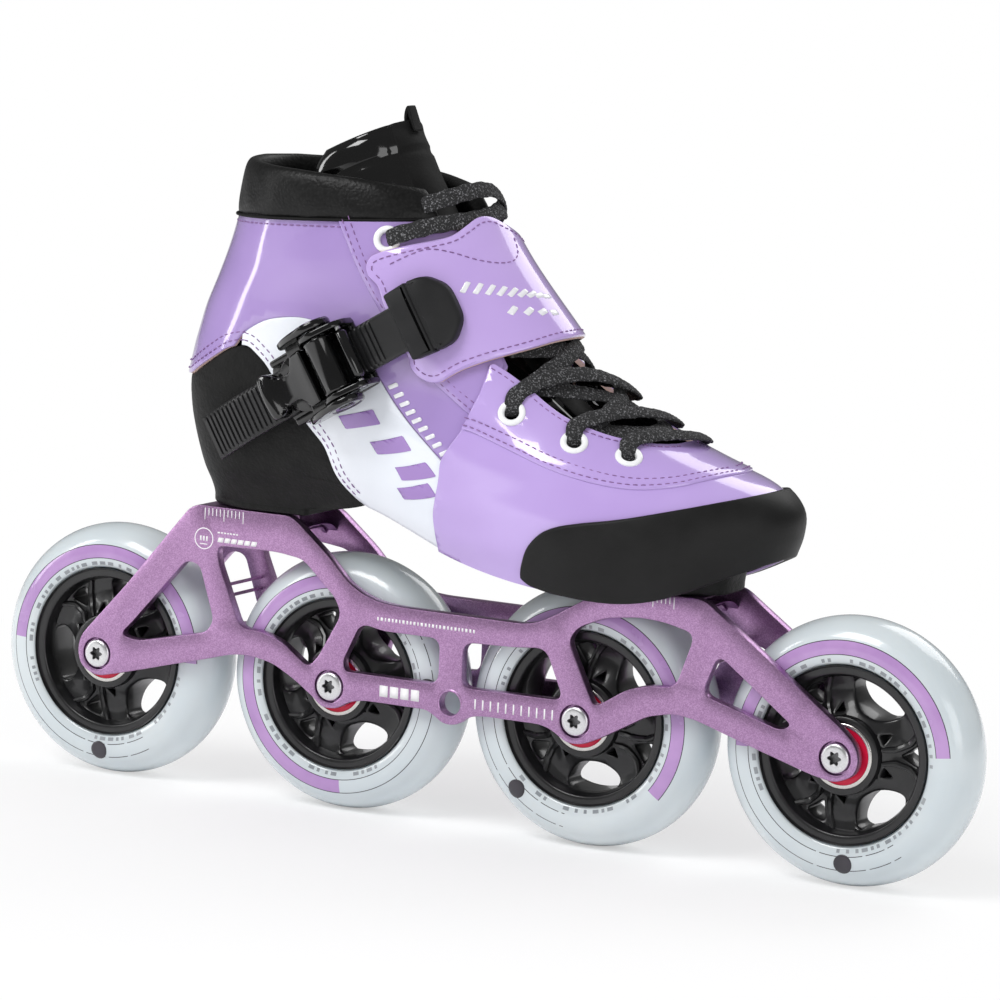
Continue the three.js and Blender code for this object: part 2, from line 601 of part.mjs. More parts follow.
function withEyelets(sheetGeometry, eyelets) {
  let body = toManifold(sheetGeometry);
  for (const side of [1, -1]) {
    for (const [u, v] of eyelets) {
      body = union(body, onSurface(EYELET_RING, side * u, v));
      body = cut(body, onSurface(EYELET_HOLE, side * u, v));
    }
  }
  return body;
}

const quarterBottom = (u) => interpolate(Math.abs(u),
  [0, 0.133, 0.223, 0.291, 0.32, 0.36, 0.41, 0.479, 0.53, 0.545, 0.62, 0.745, 0.80],
  [5.05, 5.35, 6.15, 6.72, 7.1, 7.5, 7.78, 7.72, 6.9, 4.1, 5.35, 7.2, 7.9]);
const vampTop = (u) => interpolate(1 - Math.abs(u - 1),
  [0.4875, 0.495, 0.515, 0.538, 0.575, 0.614, 0.66, 0.70, 0.738, 0.752, 0.775, 0.83, 1],
  [0.35, 1.8, 2.7, 3.6, 4.3, 5.06, 5.75, 6.35, 6.9, 6.7, 5.75, 4.95, 5.05]);

// Ankle part, round the heel from throat edge to throat edge.
function makeQuarter() {
  const us = mirrorHeel([0, 0.06, 0.12, 0.18, 0.24, 0.3, 0.36, 0.42, 0.479, 0.522, 0.55, 0.62,
    0.68, 0.745, 0.80]);
  return withEyelets(patch(us, quarterBottom, () => 10.02, 4, -SHELL_T, 0), EYELETS.slice(0, 1));
}

// Toe part with its two lacing flaps.
function makeVamp() {
  const us = mirrorToe([0.4875, 0.495, 0.515, 0.538, 0.575, 0.614, 0.66, 0.70, 0.738, 0.752,
    0.775, 0.83, 0.88, 0.94, 1]);
  return withEyelets(patch(us, () => 0.02, vampTop, 6, -SHELL_T, 0), EYELETS.slice(1));
}

const quarter = makeQuarter();
const vamp = makeVamp();
addPiece('quarter', quarter, materials.lilac);
addPiece('vamp', vamp, materials.lilac);

// ---- toe bumper ----
function makeToeBumper() {
  const us = mirrorToe([0.598, 0.612, 0.635, 0.67, 0.71, 0.76, 0.81, 0.86, 0.91, 0.955, 1]);
  const top = (u) => interpolate(Math.abs(u - 1),
    [0, 0.08, 0.17, 0.24, 0.31, 0.363, 0.385, 0.402],
    [2.83, 2.81, 2.76, 2.66, 2.46, 2.1, 1.8, 1.3]);
  const bottom = (u) => interpolate(Math.abs(u - 1),
    [0, 0.36, 0.385, 0.402], [0.05, 0.05, 0.12, 0.4]);
  return patch(us, bottom, top, 3, 0.9, 3.0);
}

addPiece('toe_bumper', makeToeBumper(), materials.rubber);

// ---- lining: soft inner boot, closed round the toes, open along the throat ----
const LINING_OUTER = -5.6;
const LINING_INNER = -7.5;

function makeLining() {
  const half = [0, 0.06, 0.12, 0.18, 0.25, 0.33, 0.45, 0.58, 0.67, 0.72, 0.77, 0.84, 0.90, 0.95, 1];
  const us = mirrorToe(half).slice(0, -1);
  const rim = (u) => interpolate(1 - Math.abs(u - 1),
    [0, 0.67, 0.72, 0.77, 0.84, 1], [9.55, 9.5, 8.4, 4.7, 4.3, 4.3]);
  const fractions = [0, 0.22, 0.44, 0.63, 0.82, 1];
  const blank = sheet(fractions.length, us.length, (i, j, isOuter) => {
    const toeInset = 2.0 * ease(1 - Math.abs(us[j] - 1) / 0.35);
    const depth = (isOuter ? LINING_OUTER : LINING_INNER) - toeInset;
    return offsetPoint(lerp(1.15, rim(us[j]), fractions[i]), us[j], depth);
  }, true);
  // shifted copies of the upper leave a clearance around it
  const shifts = [[0, 0, 0], [0, -0.3, 0], [0, 0.3, 0], [-0.3, 0, 0], [0, 0, -0.3]];
  const tools = [quarter, vamp].flatMap((part) => shifts.map((shift) => part.translate(shift)));
  return biggest(cut(blank, ...tools));
}

const lining = makeLining();
addPiece('lining', lining, materials.foam);

// ---- padded collar roll ----
function makeCollarPad() {
  const us = mirrorHeel([0, 0.06, 0.12, 0.18, 0.26, 0.38, 0.5, 0.62, 0.72, 0.8]);
  const bottom = 10.12;
  const top = (u) => interpolate(Math.abs(u), [0, 0.3, 0.6, 0.8], [11.92, 11.7, 11.3, 10.95]);
  const sides = 8;
  const squared = (x) => Math.sign(x) * Math.abs(x) ** 0.75;
  const positions = [];
  const triangles = [];
  for (const u of us) {
    const middle = (bottom + top(u)) / 2;
    const halfHeight = (top(u) - bottom) / 2;
    for (let k = 0; k < sides; k++) {
      const angle = k / sides * 2 * Math.PI;
      positions.push(...offsetPoint(
        middle + halfHeight * squared(Math.sin(angle)), u, -2.4 + 2.9 * squared(Math.cos(angle))));
    }
  }
  for (let j = 0; j < us.length - 1; j++) {
    for (let k = 0; k < sides; k++) {
      const a = j * sides + k;
      const b = j * sides + (k + 1) % sides;
      triangles.push(a, b, b + sides, a, b + sides, a + sides);
    }
  }
  const end = (us.length - 1) * sides;
  for (let k = 1; k < sides - 1; k++) {
    triangles.push(0, k + 1, k, end, end + k, end + k + 1);
  }
  return meshGeometry(positions, triangles);
}

addPiece('collar_pad', makeCollarPad(), materials.leather);

// ---- tongue ----
// Front line from toe end to top: x, z, half width, depth of the bow, half angle of the bow (rad).
const TONGUE = [
  [61, 134.5, 17, 9, 1.35], [48, 141.5, 20, 13, 1.35], [34.5, 151, 21.5, 17, 1.35],
  [19.5, 164.5, 22, 20, 1.4], [6, 180, 22, 21, 1.5], [-6.5, 196, 22, 22, 1.6],
  [-17, 211, 21.5, 23, 1.75], [-25.5, 226, 23, 25, 1.85], [-31, 236.5, 22.5, 24, 1.85],
  [-33.3, 241.5, 18.5, 20.5, 1.7], [-34.8, 245.5, 4, 2, 1.2],
];
const TONGUE_T = 3.6;

function makeTongue() {
  return sheet(TONGUE.length, 9, (i, j, isOuter) => {
    const [x, z, halfWidth, bow, halfAngle] = TONGUE[i];
    const before = TONGUE[Math.max(0, i - 1)];
    const after = TONGUE[Math.min(TONGUE.length - 1, i + 1)];
    const dx = after[0] - before[0];
    const dz = after[1] - before[1];
    const length = Math.hypot(dx, dz);
    const angle = lerp(-halfAngle, halfAngle, j / 8);
    const scale = 1 - (isOuter ? 0 : TONGUE_T) / halfWidth;
    const back = bow * (1 - Math.cos(angle) * scale);
    const medialShift = Math.max(0, 3 - i);
    return [
      x - dz / length * back,
      halfWidth * scale * Math.sin(angle) + medialShift,
      z + dx / length * back,
    ];
  });
}

addPiece('tongue', makeTongue(), materials.patent);

// ---- lace: bars and diagonals through the four eyelet pairs, one continuous piece ----
const MM_PER_U = 105;
const MM_PER_V = 13;
const LACE_HALF_V = 0.297;                // half width of a bar, in units of v
const LACE_T = 1.2;

function makeRibbon(from, to, lift) {
  const steps = 4;
  const runU = (to[0] - from[0]) * MM_PER_U;
  const runV = (to[1] - from[1]) * MM_PER_V;
  const length = Math.hypot(runU, runV);
  return sheet(steps + 1, 2, (i, j, isOuter) => {
    const half = (j ? 1 : -1) * LACE_HALF_V;
    const u = lerp(from[0], to[0], i / steps) - half * runV / length * MM_PER_V / MM_PER_U;
    const v = lerp(from[1], to[1], i / steps) + half * runU / length;
    return offsetPoint(v, u, lift + (isOuter ? LACE_T : 0));
  });
}

function makeLace() {
  const [top, ...lower] = EYELETS;
  const lateral = [...lower.reverse(), [0.80, 6.9], [0.80, 8.3], top];
  const medial = lateral.map(([u, v]) => [2 - u, v]);
  const ribbons = [];
  lateral.forEach((point, k) => {
    ribbons.push(makeRibbon(point, medial[k], 0.5));
    if (k === lateral.length - 1) return;
    const [from, to] = k % 2 ? [medial, lateral] : [lateral, medial];
    ribbons.push(makeRibbon(from[k], to[k + 1], 0.6));
  });
  return biggest(cut(union(...ribbons), quarter, vamp, lining));
}

addPiece('lace', makeLace(), materials.lace);

// ---- ankle strap over the instep ----
function makeAnkleStrap() {
  const us = [0.575, 0.6, 0.64, 0.7, 0.76, 0.83, 0.9, 1, 1.1, 1.2, 1.3, 1.4, 1.5];
  const top = (u) => interpolate(u,
    [0.575, 0.6, 0.64, 0.756, 1, 1.3, 1.5], [8.4, 9.0, 9.3, 9.55, 9.6, 9.2, 8.4]);
  const bottom = (u) => interpolate(u, [0.575, 0.6, 0.64, 0.7, 0.755, 0.936, 1.05, 1.3, 1.5],
    [7.6, 6.95, 6.7, 7.0, 7.25, 7.62, 7.62, 7.1, 6.6]);
  const lift = (u) => interpolate(u,
    [0.56, 0.6, 0.68, 0.76, 1, 1.25, 1.4, 1.5], [0.4, 0.5, 1.7, 2.6, 2.6, 2.6, 2.2, 0.8]);
  return sheet(5, us.length, (i, j, isOuter) => offsetPoint(
    lerp(bottom(us[j]), top(us[j]), i / 4), us[j], lift(us[j]) + (isOuter ? 2.0 : 0)));
}

addPiece('ankle_strap', makeAnkleStrap(), materials.lilac);

// ---- ratchet buckle, on the lateral side ----
// Local frame: p along the strap toward the cap, q outward, r across.
const STRAP_ANGLE = 31 * Math.PI / 180;
const [BUCKLE_X, BUCKLE_Y, BUCKLE_Z] = [-46, -34.7, 154];
const COS = Math.cos(STRAP_ANGLE);
const SIN = Math.sin(STRAP_ANGLE);
const PIN = [11, 10.2];                   // [p, q]
const PIN_HOLE_R = 1.9;
const PAWL_PIN = [19.6, 9.0];             // [p, q]
const PAWL_HOLE_R = 1.3;

// (p, q) outline extruded across.
const prismR = (shape, r0, r1) => place(extrude(shape, r1 - r0).translate(0, 0, r0),
  [COS, 0, SIN, BUCKLE_X, 0, -1, 0, BUCKLE_Y, SIN, 0, -COS, BUCKLE_Z]);
// (p, -r) outline extruded outward.
const prismQ = (shape, q0, q1) => place(extrude(shape, q1 - q0),
  [COS, -SIN, 0, BUCKLE_X, 0, 0, -1, BUCKLE_Y - q0, SIN, COS, 0, BUCKLE_Z]);

const pawlHole = () => prismR(disc(PAWL_PIN, PAWL_HOLE_R, 8), -13, 13);

// Plate with two upright ears.
function makeBuckleBase() {
  const plate = rounded([
    [-14.5, -9.5], [-10.5, -12.4], [22, -12.4], [22, 12.4], [-10.5, 12.4], [-14.5, 9.5],
  ], 2.5, 1);
  const ear = rounded([
    [4.6, 2], [22, 2], [22.4, 8], [20.6, 12], [11, 16.6], [6, 13.6], [4.6, 9],
  ], 3, 1);
  const base = union(prismQ(plate, 0.7, 2.5),
    ...[-11.1, 11.1].map((r) => prismR(ear, r - 1.1, r + 1.1)));
  return cut(base, prismR(disc(PIN, PIN_HOLE_R, 10), -13, 13), pawlHole());
}

// Pin with the roller in its middle.
const makeBucklePin = () => union(
  prismR(disc(PIN, 1.55, 10), -15.4, 15.4), prismR(disc(PIN, 5.1, 14), -9.5, 9.5));

// Thumb plate with two fork arms ending in round cheeks outside the base ears.
function makeBuckleLever() {
  const plate = rounded([
    [-15.5, 6.6], [-12, 5.9], [3.4, 5.9], [3.4, 9.4], [-4, 9.3], [-9, 9.5], [-11.6, 13.2],
    [-15, 14], [-17.2, 10.4],
  ], 1.6, 1);
  const arm = polygon([
    [-4.5, 6.2], [6, 4.7], [9, 10], [8, 16], [3, 15], [-2.4, 12.2], [-4.5, 9.2],
  ]);
  const link = polygon([[-3.5, 6.2], [3.2, 6.2], [3.2, 8.4], [-3.5, 8.8]]);
  const notches = [-1, 1].map((side) => prismQ(polygon([
    [-30, side * 8.2], [-10.8, side * 8.2], [-9.6, side * 4.9], [-4.4, side * 4.9],
    [-3.0, side * 9.2], [-3.0, side * 16.5], [-30, side * 16.5],
  ]), 0, 20));
  let lever = cut(prismR(plate, -12.6, 12.6), ...notches);
  for (const [r0, r1, linkR0, linkR1] of [[-15.1, -12.7, -15.1, -12], [12.7, 15.1, 12, 15.1]]) {
    lever = union(lever, prismR(disc(PIN, 7.2, 14), r0, r1), prismR(arm, r0, r1),
      prismR(link, linkR0, linkR1));
  }
  return cut(lever, prismR(disc(PIN, PIN_HOLE_R, 10), -17, 17));
}

const makeBucklePawl = () => cut(prismR(polygon([
  [17.2, 5.9], [20.6, 6.2], [22.6, 7.8], [23.3, 10.4], [22.2, 13.0], [19.8, 13.7], [17.4, 12.0],
]), -9.4, 9.4), pawlHole());

// Ladder strap: stations along p and the height q of its underside.
const LADDER_P = [-48, -38, -31, -22, 22, 30, 39, 46];
const LADDER_Q = [-1.7, 1.0, 2.65, 3.0, 3.0, 2.9, 2.6, 2.2];
const LADDER_START = -48.5;
const LADDER_END = 46;
const LADDER_T = 1.7;
const TOOTH_TOP = 2.2;
const TOOTH_PITCH = 2.1;
const ladderQ = (p) => interpolate(p, LADDER_P, LADDER_Q);

// Toothed except under the pin and roller.
function makeLadderStrap() {
  const underside = [LADDER_START, ...LADDER_P.slice(1)].map((p) => [p, ladderQ(p)]);
  const teeth = [];
  for (let k = 1; k < 37; k++) {
    const p = -50 + k * TOOTH_PITCH;
    if (p > -14 && p < 22) continue;
    const q = ladderQ(p);
    teeth.push([p, q + LADDER_T], [p + 0.3, q + TOOTH_TOP], [p + 1.2, q + TOOTH_TOP],
      [p + 1.5, q + LADDER_T]);
  }
  return toManifold(prismR(polygon([
    ...underside, [LADDER_END, ladderQ(LADDER_END) + LADDER_T],
    ...teeth.reverse(), [LADDER_START, ladderQ(LADDER_START) + LADDER_T],
  ]), -8, 8));
}

// End cover; the slot at its mouth takes the ladder strap.
function makeStrapCap() {
  const plan = rounded([
    [39, -12], [47.4, -12.8], [51.8, -12.2], [56, -9], [57.8, -4.2], [57.8, 4.2], [56, 9],
    [51.8, 12.2], [47.4, 12.8], [39, 12],
  ], 2.5, 1);
  const side = polygon([
    [38, 1.5], [44, 1.2], [48, -0.2], [52, -2.4], [58.5, -6.4], [58.5, -2.6], [56.5, -0.8],
    [54, 1.5], [51, 3.7], [48.4, 5.2], [47.8, 4.5], [47.2, 5.7], [44, 6.8], [40, 7.6], [38, 7.8],
  ]);
  const endQ = ladderQ(LADDER_END);
  const slot = polygon([
    [37, ladderQ(37) - 0.3], [46.5, endQ - 0.3], [46.5, endQ + 2.1], [42, ladderQ(42) + 2.6],
    [37, ladderQ(37) + 2.8],
  ]);
  const cap = toManifold(prismQ(plan, -9, 10)).intersect(toManifold(prismR(side, -14, 14)));
  return cut(cap, prismR(slot, -8.5, 8.5));
}

addPiece('buckle_base', makeBuckleBase(), materials.gloss);
addPiece('buckle_pin', makeBucklePin(), materials.gloss);
addPiece('buckle_lever', makeBuckleLever(), materials.gloss);
addPiece('buckle_pawl', makeBucklePawl(), materials.gloss);
addPiece('pawl_pin', prismR(disc(PAWL_PIN, 0.95, 8), -12.1, 12.1), materials.steel);
addPiece('ladder_strap', makeLadderStrap(), materials.strap);
addPiece('strap_cap', makeStrapCap(), materials.rubber);

// ---- mounting hardware ----
const MOUNT_SEGMENTS = 14;

for (const { tag, x, bridge, insert, boltTip } of MOUNTS) {
  const underside = bridge.z0 + BRIDGE_ARCH;
  const turn = (profile) => latheZ(profile, x, MOUNT_SEGMENTS);
  addPiece(`mount_washer_${tag}`,
    turn(tube(3.3, 6.4, underside - 1.5, underside - 0.3)), materials.steel);
  const bolt = turn([
    [0, underside - 4.8], [4.4, underside - 4.8], [4.9, underside - 4.2],
    [4.9, underside - 1.8], [2.8, underside - 1.8], [2.8, boltTip], [0, boltTip],
  ]);
  const hexSocket = cylinderZ(2.3, underside - 6, underside - 2.6, x, 6);
  addPiece(`mount_bolt_${tag}`, cut(bolt, hexSocket), materials.bolt);
  addPiece(`mount_insert_${tag}`, turn(tube(3.2, 5.1, ...insert)), materials.steel);
}

export default group;
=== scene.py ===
"""An inline skate: a low boot with strap and ratchet buckle, on a frame with four wheels.

Lengths are in millimetres unless said otherwise. X runs from heel (-) to toe (+), Z is up with
the ground at 0, lateral is -Y and medial is +Y.

The boot is drawn on a chart (u, v). v runs from 0 at the sole edge to 12 at the collar rim.
u runs from 0 at the heel to 1 at the toe along the lateral side, and on to 2 (or from 0 down
to -1) along the medial side.
"""
import math
import random
from math import pi

import bmesh
import bpy
import numpy as np
from mathutils import Matrix, Vector, kdtree
from mathutils.bvhtree import BVHTree
from mathutils.geometry import delaunay_2d_cdt


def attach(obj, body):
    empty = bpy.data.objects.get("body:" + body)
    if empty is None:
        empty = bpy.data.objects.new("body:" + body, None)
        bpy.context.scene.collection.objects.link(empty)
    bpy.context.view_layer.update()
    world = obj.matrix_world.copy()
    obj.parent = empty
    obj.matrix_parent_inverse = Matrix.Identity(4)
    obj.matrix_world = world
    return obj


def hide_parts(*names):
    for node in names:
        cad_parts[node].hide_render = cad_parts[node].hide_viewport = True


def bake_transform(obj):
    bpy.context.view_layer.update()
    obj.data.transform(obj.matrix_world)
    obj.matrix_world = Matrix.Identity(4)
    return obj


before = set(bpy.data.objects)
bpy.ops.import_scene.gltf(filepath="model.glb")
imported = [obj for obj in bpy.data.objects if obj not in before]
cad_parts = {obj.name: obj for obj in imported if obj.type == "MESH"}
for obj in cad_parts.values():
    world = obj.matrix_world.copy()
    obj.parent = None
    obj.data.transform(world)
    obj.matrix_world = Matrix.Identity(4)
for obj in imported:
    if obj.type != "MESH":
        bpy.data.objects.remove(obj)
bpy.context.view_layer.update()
random.seed(7)

MM = 0.001
SIDE_SHIFT = 3.472                 # the whole skate stands this far towards +Y
COLLECTION = bpy.context.scene.collection

# Boot rows from sole edge to collar rim. Columns: heel x, z; toe x, z; length of the rounding
# at heel and toe; strength of the sole profile; four half widths from heel to toe on the
# lateral side; the same on the medial side; sideways shift of the toe.
RINGS = np.array([
    [-104.5, 108, 111.0, 106, 26, 50, 1.00, 23, 25, 34, 31, 22, 21, 33, 31, 6],
    [-107.5, 115, 113.0, 113, 28, 50, 0.85, 27, 29, 38, 34, 26, 24, 36, 34, 6],
    [-109.5, 122, 112.5, 120, 29, 50, 0.60, 29.5, 31.5, 39.5, 35, 29, 27, 38, 35, 6],
    [-111.5, 130, 105.0, 126.5, 30, 50, 0.35, 31, 33, 39, 35, 30.5, 30, 38, 35, 6],
    [-112.8, 138, 89.0, 132.5, 30, 52, 0.15, 32, 34, 37.5, 34, 31.5, 32, 37, 34, 5],
    [-113.2, 147, 71.5, 139.5, 30, 52, 0.05, 32.5, 34.5, 35, 32, 32, 33.5, 35, 32, 4],
    [-111.4, 157, 54.5, 148.0, 30, 50, 0.0, 32.5, 34.5, 33, 30, 32, 34, 33, 30, 3],
    [-108.3, 168, 38.5, 160.0, 30, 48, 0.0, 32, 34.5, 33, 29, 32, 34.5, 33, 29, 2],
    [-104.0, 180, 24.5, 175.0, 30, 46, 0.0, 31.5, 34, 33, 29, 31.5, 34, 33, 29, 1],
    [-99.0, 192, 10.5, 192.0, 29, 44, 0.0, 31, 33.5, 32.5, 28, 31, 33.5, 32.5, 28, 0],
    [-95.0, 204, -1.0, 208.0, 28, 42, 0.0, 31, 33, 32, 28, 31, 33, 32, 28, 0],
    [-92.6, 216, -10.0, 221.0, 28, 40, 0.0, 31, 33, 31, 27, 31, 33, 31, 27, 0],
    [-92.0, 228, -17.0, 233.0, 28, 38, 0.0, 30, 32, 30, 26, 30, 32, 30, 26, 0]], float)
SOLE_Z = np.array([0, 5.2, 3.3, -9, -14.5, -14.8, 0.0])   # rise above the heel-toe line
CHART_MM = np.array([200.0, 12.0])                        # chart (u, v) to roughly mm


# ---------------------------------------------------------------- curves and the boot surface
def spline(points, t):
    """Catmull-Rom curve through the points, read at index values t."""
    last = len(points) - 1
    t = np.clip(np.asarray(t, float), 0, last - 1e-9)
    i = np.floor(t).astype(int)
    f = (t - i)[..., None]
    at = lambda k: points[np.clip(k, 0, last)]
    p1, p2 = at(i), at(i + 1)
    p0 = np.where((i < 1)[..., None], 2 * p1 - p2, at(i - 1))
    p3 = np.where((i + 2 > last)[..., None], 2 * p2 - p1, at(i + 2))
    return 0.5 * ((2 * p1) + (-p0 + p2) * f + (2 * p0 - 5 * p1 + 4 * p2 - p3) * f * f
                  + (-p0 + 3 * p1 - 3 * p2 + p3) * f ** 3)


def curve(points, n=6):
    """Smooth line through all points, n steps per span."""
    spans = len(points) - 1
    return spline(np.array(points, float), np.linspace(0, spans, spans * n + 1))


def ease(t):
    c = np.clip(t, 0, 1)
    return c * c * (3 - 2 * c)


def unit(a):
    return a / np.maximum(np.linalg.norm(a, axis=-1, keepdims=True), 1e-12)


def angles(n):
    return np.arange(n) * 2 * pi / n


def arc_length(path):
    return np.r_[0, np.cumsum(np.linalg.norm(np.diff(path, axis=0), axis=1))]


def along(t, length, values):
    """Rows of values at the lengths t."""
    return np.stack([np.interp(t, length, values[:, k]) for k in range(values.shape[1])], -1)


SOLE_FINE = curve(SOLE_Z[:, None], 10)[:, 0]


def quarter_round(t):
    return np.sqrt(np.clip(1 - (1 - np.minimum(t, 1)) ** 2, 0, 1))


def surf(v, u):
    """Points of the boot surface for 0 <= v <= 12."""
    v, u = np.broadcast_arrays(np.asarray(v, float), np.asarray(u, float))
    row = spline(RINGS, v)
    u = np.mod(u, 2.0)
    lateral = u <= 1
    tau = (1 - np.cos(pi * np.where(lateral, u, 2 - u))) / 2
    heel_x, heel_z, toe_x, toe_z, heel_len, toe_len, sole = [row[..., i] for i in range(7)]
    length = toe_x - heel_x
    from_heel = tau * length
    widths = np.where(lateral[..., None], row[..., 7:11], row[..., 11:15])
    half = widths[..., 0]
    for i, (start, span) in enumerate(((0.1, 0.32), (0.42, 0.30), (0.72, 0.28))):
        half = half + (widths[..., i + 1] - widths[..., i]) * ease((tau - start) / span)
    y = half * quarter_round(from_heel / heel_len)
    y = y * quarter_round((1 - tau) * length / toe_len)
    middle = row[..., 15] * ease((tau - 0.35) / 0.65)
    z = heel_z + (toe_z - heel_z) * tau + sole * np.interp(tau, np.linspace(0, 1, 61), SOLE_FINE)
    return np.stack([heel_x + from_heel, middle + np.where(lateral, -y, y), z], -1)


def surf_extended(v, u):
    """surf, carried on in a straight line below row 0 and above row 12."""
    v = np.asarray(v, float)
    low, high = surf(0.0 * v, u), surf(12 + 0 * v, u)
    below = low + (surf(0.25 + 0 * v, u) - low) * (v / 0.25)[..., None]
    above = high + (high - surf(11.75 + 0 * v, u)) * ((v - 12) / 0.25)[..., None]
    out = np.where((v < 0)[..., None], below, surf(np.clip(v, 0, 12), u))
    return np.where((v > 12)[..., None], above, out)


def surf_normal(v, u, du=0.02, dv=0.15):
    v, u = np.asarray(v, float), np.asarray(u, float)
    along_u = surf(v, u + du) - surf(v, u - du)
    along_v = surf(np.minimum(12, v + dv), u) - surf(np.maximum(0, v - dv), u)
    return unit(np.cross(along_u, along_v))


def boot_at(v, u, off=0.0):
    """Point at height off above the boot surface."""
    normal = surf_normal(np.clip(v, 0, 12), u)
    return surf_extended(v, u) + normal * np.asarray(off, float)[..., None]


def field(off):
    """Turns a plain height into a function of (v, u)."""
    return off if callable(off) else (lambda v, u: np.full(np.shape(u), float(off)))


def placer(off):
    """Function from chart points (u, v) to space, at height off."""
    height = field(off)

    def place(q):
        u, v = q[..., 0], q[..., 1]
        return boot_at(v, u, height(v, u))
    return place


def chart_axes(place, q, h=1e-3):
    """Directions of growing u and growing v in space, per chart unit."""
    along_u = (place(q + [h, 0]) - place(q - [h, 0])) / (2 * h)
    along_v = (place(q + [0, h * 10]) - place(q - [0, h * 10])) / (20 * h)
    return along_u, along_v


def chart_step(axes, move):
    """Chart move that gives a move in space."""
    dot = lambda a, b: (a * b).sum(-1)
    along_u, along_v = axes
    uu, uv, vv = dot(along_u, along_u), dot(along_u, along_v), dot(along_v, along_v)
    p, r = dot(along_u, move), dot(along_v, move)
    det = uu * vv - uv * uv
    return np.stack([(vv * p - uv * r) / det, (uu * r - uv * p) / det], -1)


def shifted(line, dist):
    """A chart line moved sideways by dist mm, left of its direction."""
    line = np.asarray(line, float)
    place = placer(0.0)
    axes = chart_axes(place, line)
    forward = unit(np.gradient(place(line), axis=0))
    return line + chart_step(axes, np.cross(unit(np.cross(*axes)), forward)) * dist


def mirrored(line):
    """The same line on the other side, with u as 2 - u."""
    line = np.asarray(line)
    return np.stack([2 - line[:, 0], line[:, 1]], -1)[::-1]


def mirrored_heel(line):
    """The same line on the other side, with u as -u."""
    return np.stack([-line[:, 0], line[:, 1]], -1)[::-1]


def level(u0, u1, n, v):
    """n chart points at one height."""
    return np.column_stack([np.linspace(u0, u1, n), np.full(n, v)])


# ---------------------------------------------------------------- flat outlines
def inside(polygon, points):
    x, y = points[:, 0], points[:, 1]
    result = np.zeros(len(points), bool)
    n = len(polygon)
    for i in range(n):
        x0, y0 = polygon[i]
        x1, y1 = polygon[(i + 1) % n]
        if y0 != y1:
            result ^= ((y0 > y) != (y1 > y)) & (x < (x1 - x0) * (y - y0) / (y1 - y0) + x0)
    return result


def in_region(loops, points):
    """Inside the first loop and outside all others."""
    result = inside(loops[0], points)
    for loop in loops[1:]:
        result &= ~inside(loop, points)
    return result


def smooth_loop(points, radius, n=4):
    """Rounds a closed outline; a third number on a point is its own radius."""
    out = []
    for i, point in enumerate(points):
        before, corner, after = [np.array(p[:2], float)
                                 for p in (points[i - 1], point, points[(i + 1) % len(points)])]
        a, b = before - corner, after - corner
        len_a, len_b = np.linalg.norm(a), np.linalg.norm(b)
        cut = min(point[2] if len(point) > 2 else radius, len_a * .48, len_b * .48)
        if cut < 1e-3:
            out.append(list(corner))
            continue
        start, end = corner + a / len_a * cut, corner + b / len_b * cut
        for k in range(n + 1):
            t = k / n
            out.append(list((1 - t) ** 2 * start + 2 * t * (1 - t) * corner + t * t * end))
    return np.array(out)


def resample(line, step, closed=True, place=None):
    """Even spacing; place maps points to the space where lengths are measured."""
    q = np.vstack([line, line[:1]]) if closed else np.asarray(line, float)
    parts = [np.linspace(q[i], q[i + 1], 9)[:-1] for i in range(len(q) - 1)]
    fine = np.concatenate(parts + [q[-1:]])
    length = arc_length(place(fine) if place else fine)
    n = max(3, int(round(length[-1] / step)))
    out = along(np.linspace(0, length[-1], n + 1), length, fine)
    return out[:-1] if closed else out


def signed_area(p):
    return float(np.sum(p[:, 0] * np.roll(p[:, 1], -1) - np.roll(p[:, 0], -1) * p[:, 1]))


def circle(x, z, r, n):
    turns = [2 * pi * k / n for k in range(n)]
    return np.array([[x + r * math.cos(t), z + r * math.sin(t)] for t in turns])


def triangulate(points, loops, borders, scale=1.0):
    """Counter-clockwise triangles that keep the index loops as edges, within the borders."""
    edges = [(loop[i], loop[(i + 1) % len(loop)]) for loop in loops for i in range(len(loop))]
    scaled = points * scale
    result = delaunay_2d_cdt([Vector(p) for p in scaled], edges, [], 0, 1e-7)
    source = [o[0] if o else -1 for o in result[3]]
    tris = np.array([[source[i] for i in f] for f in result[2]
                     if len(f) == 3 and all(source[i] >= 0 for i in f)], int)
    tris = tris[in_region(borders, scaled[tris].mean(1) / scale)]
    a, b, c = [points[tris[:, k]] for k in range(3)]
    cross = (b[:, 0] - a[:, 0]) * (c[:, 1] - a[:, 1]) - (b[:, 1] - a[:, 1]) * (c[:, 0] - a[:, 0])
    tris[cross < 0] = tris[cross < 0][:, ::-1]
    return tris


def search_tree(points):
    tree = kdtree.KDTree(len(points))
    for i, p in enumerate(points):
        tree.insert(p, i)
    tree.balance()
    return tree


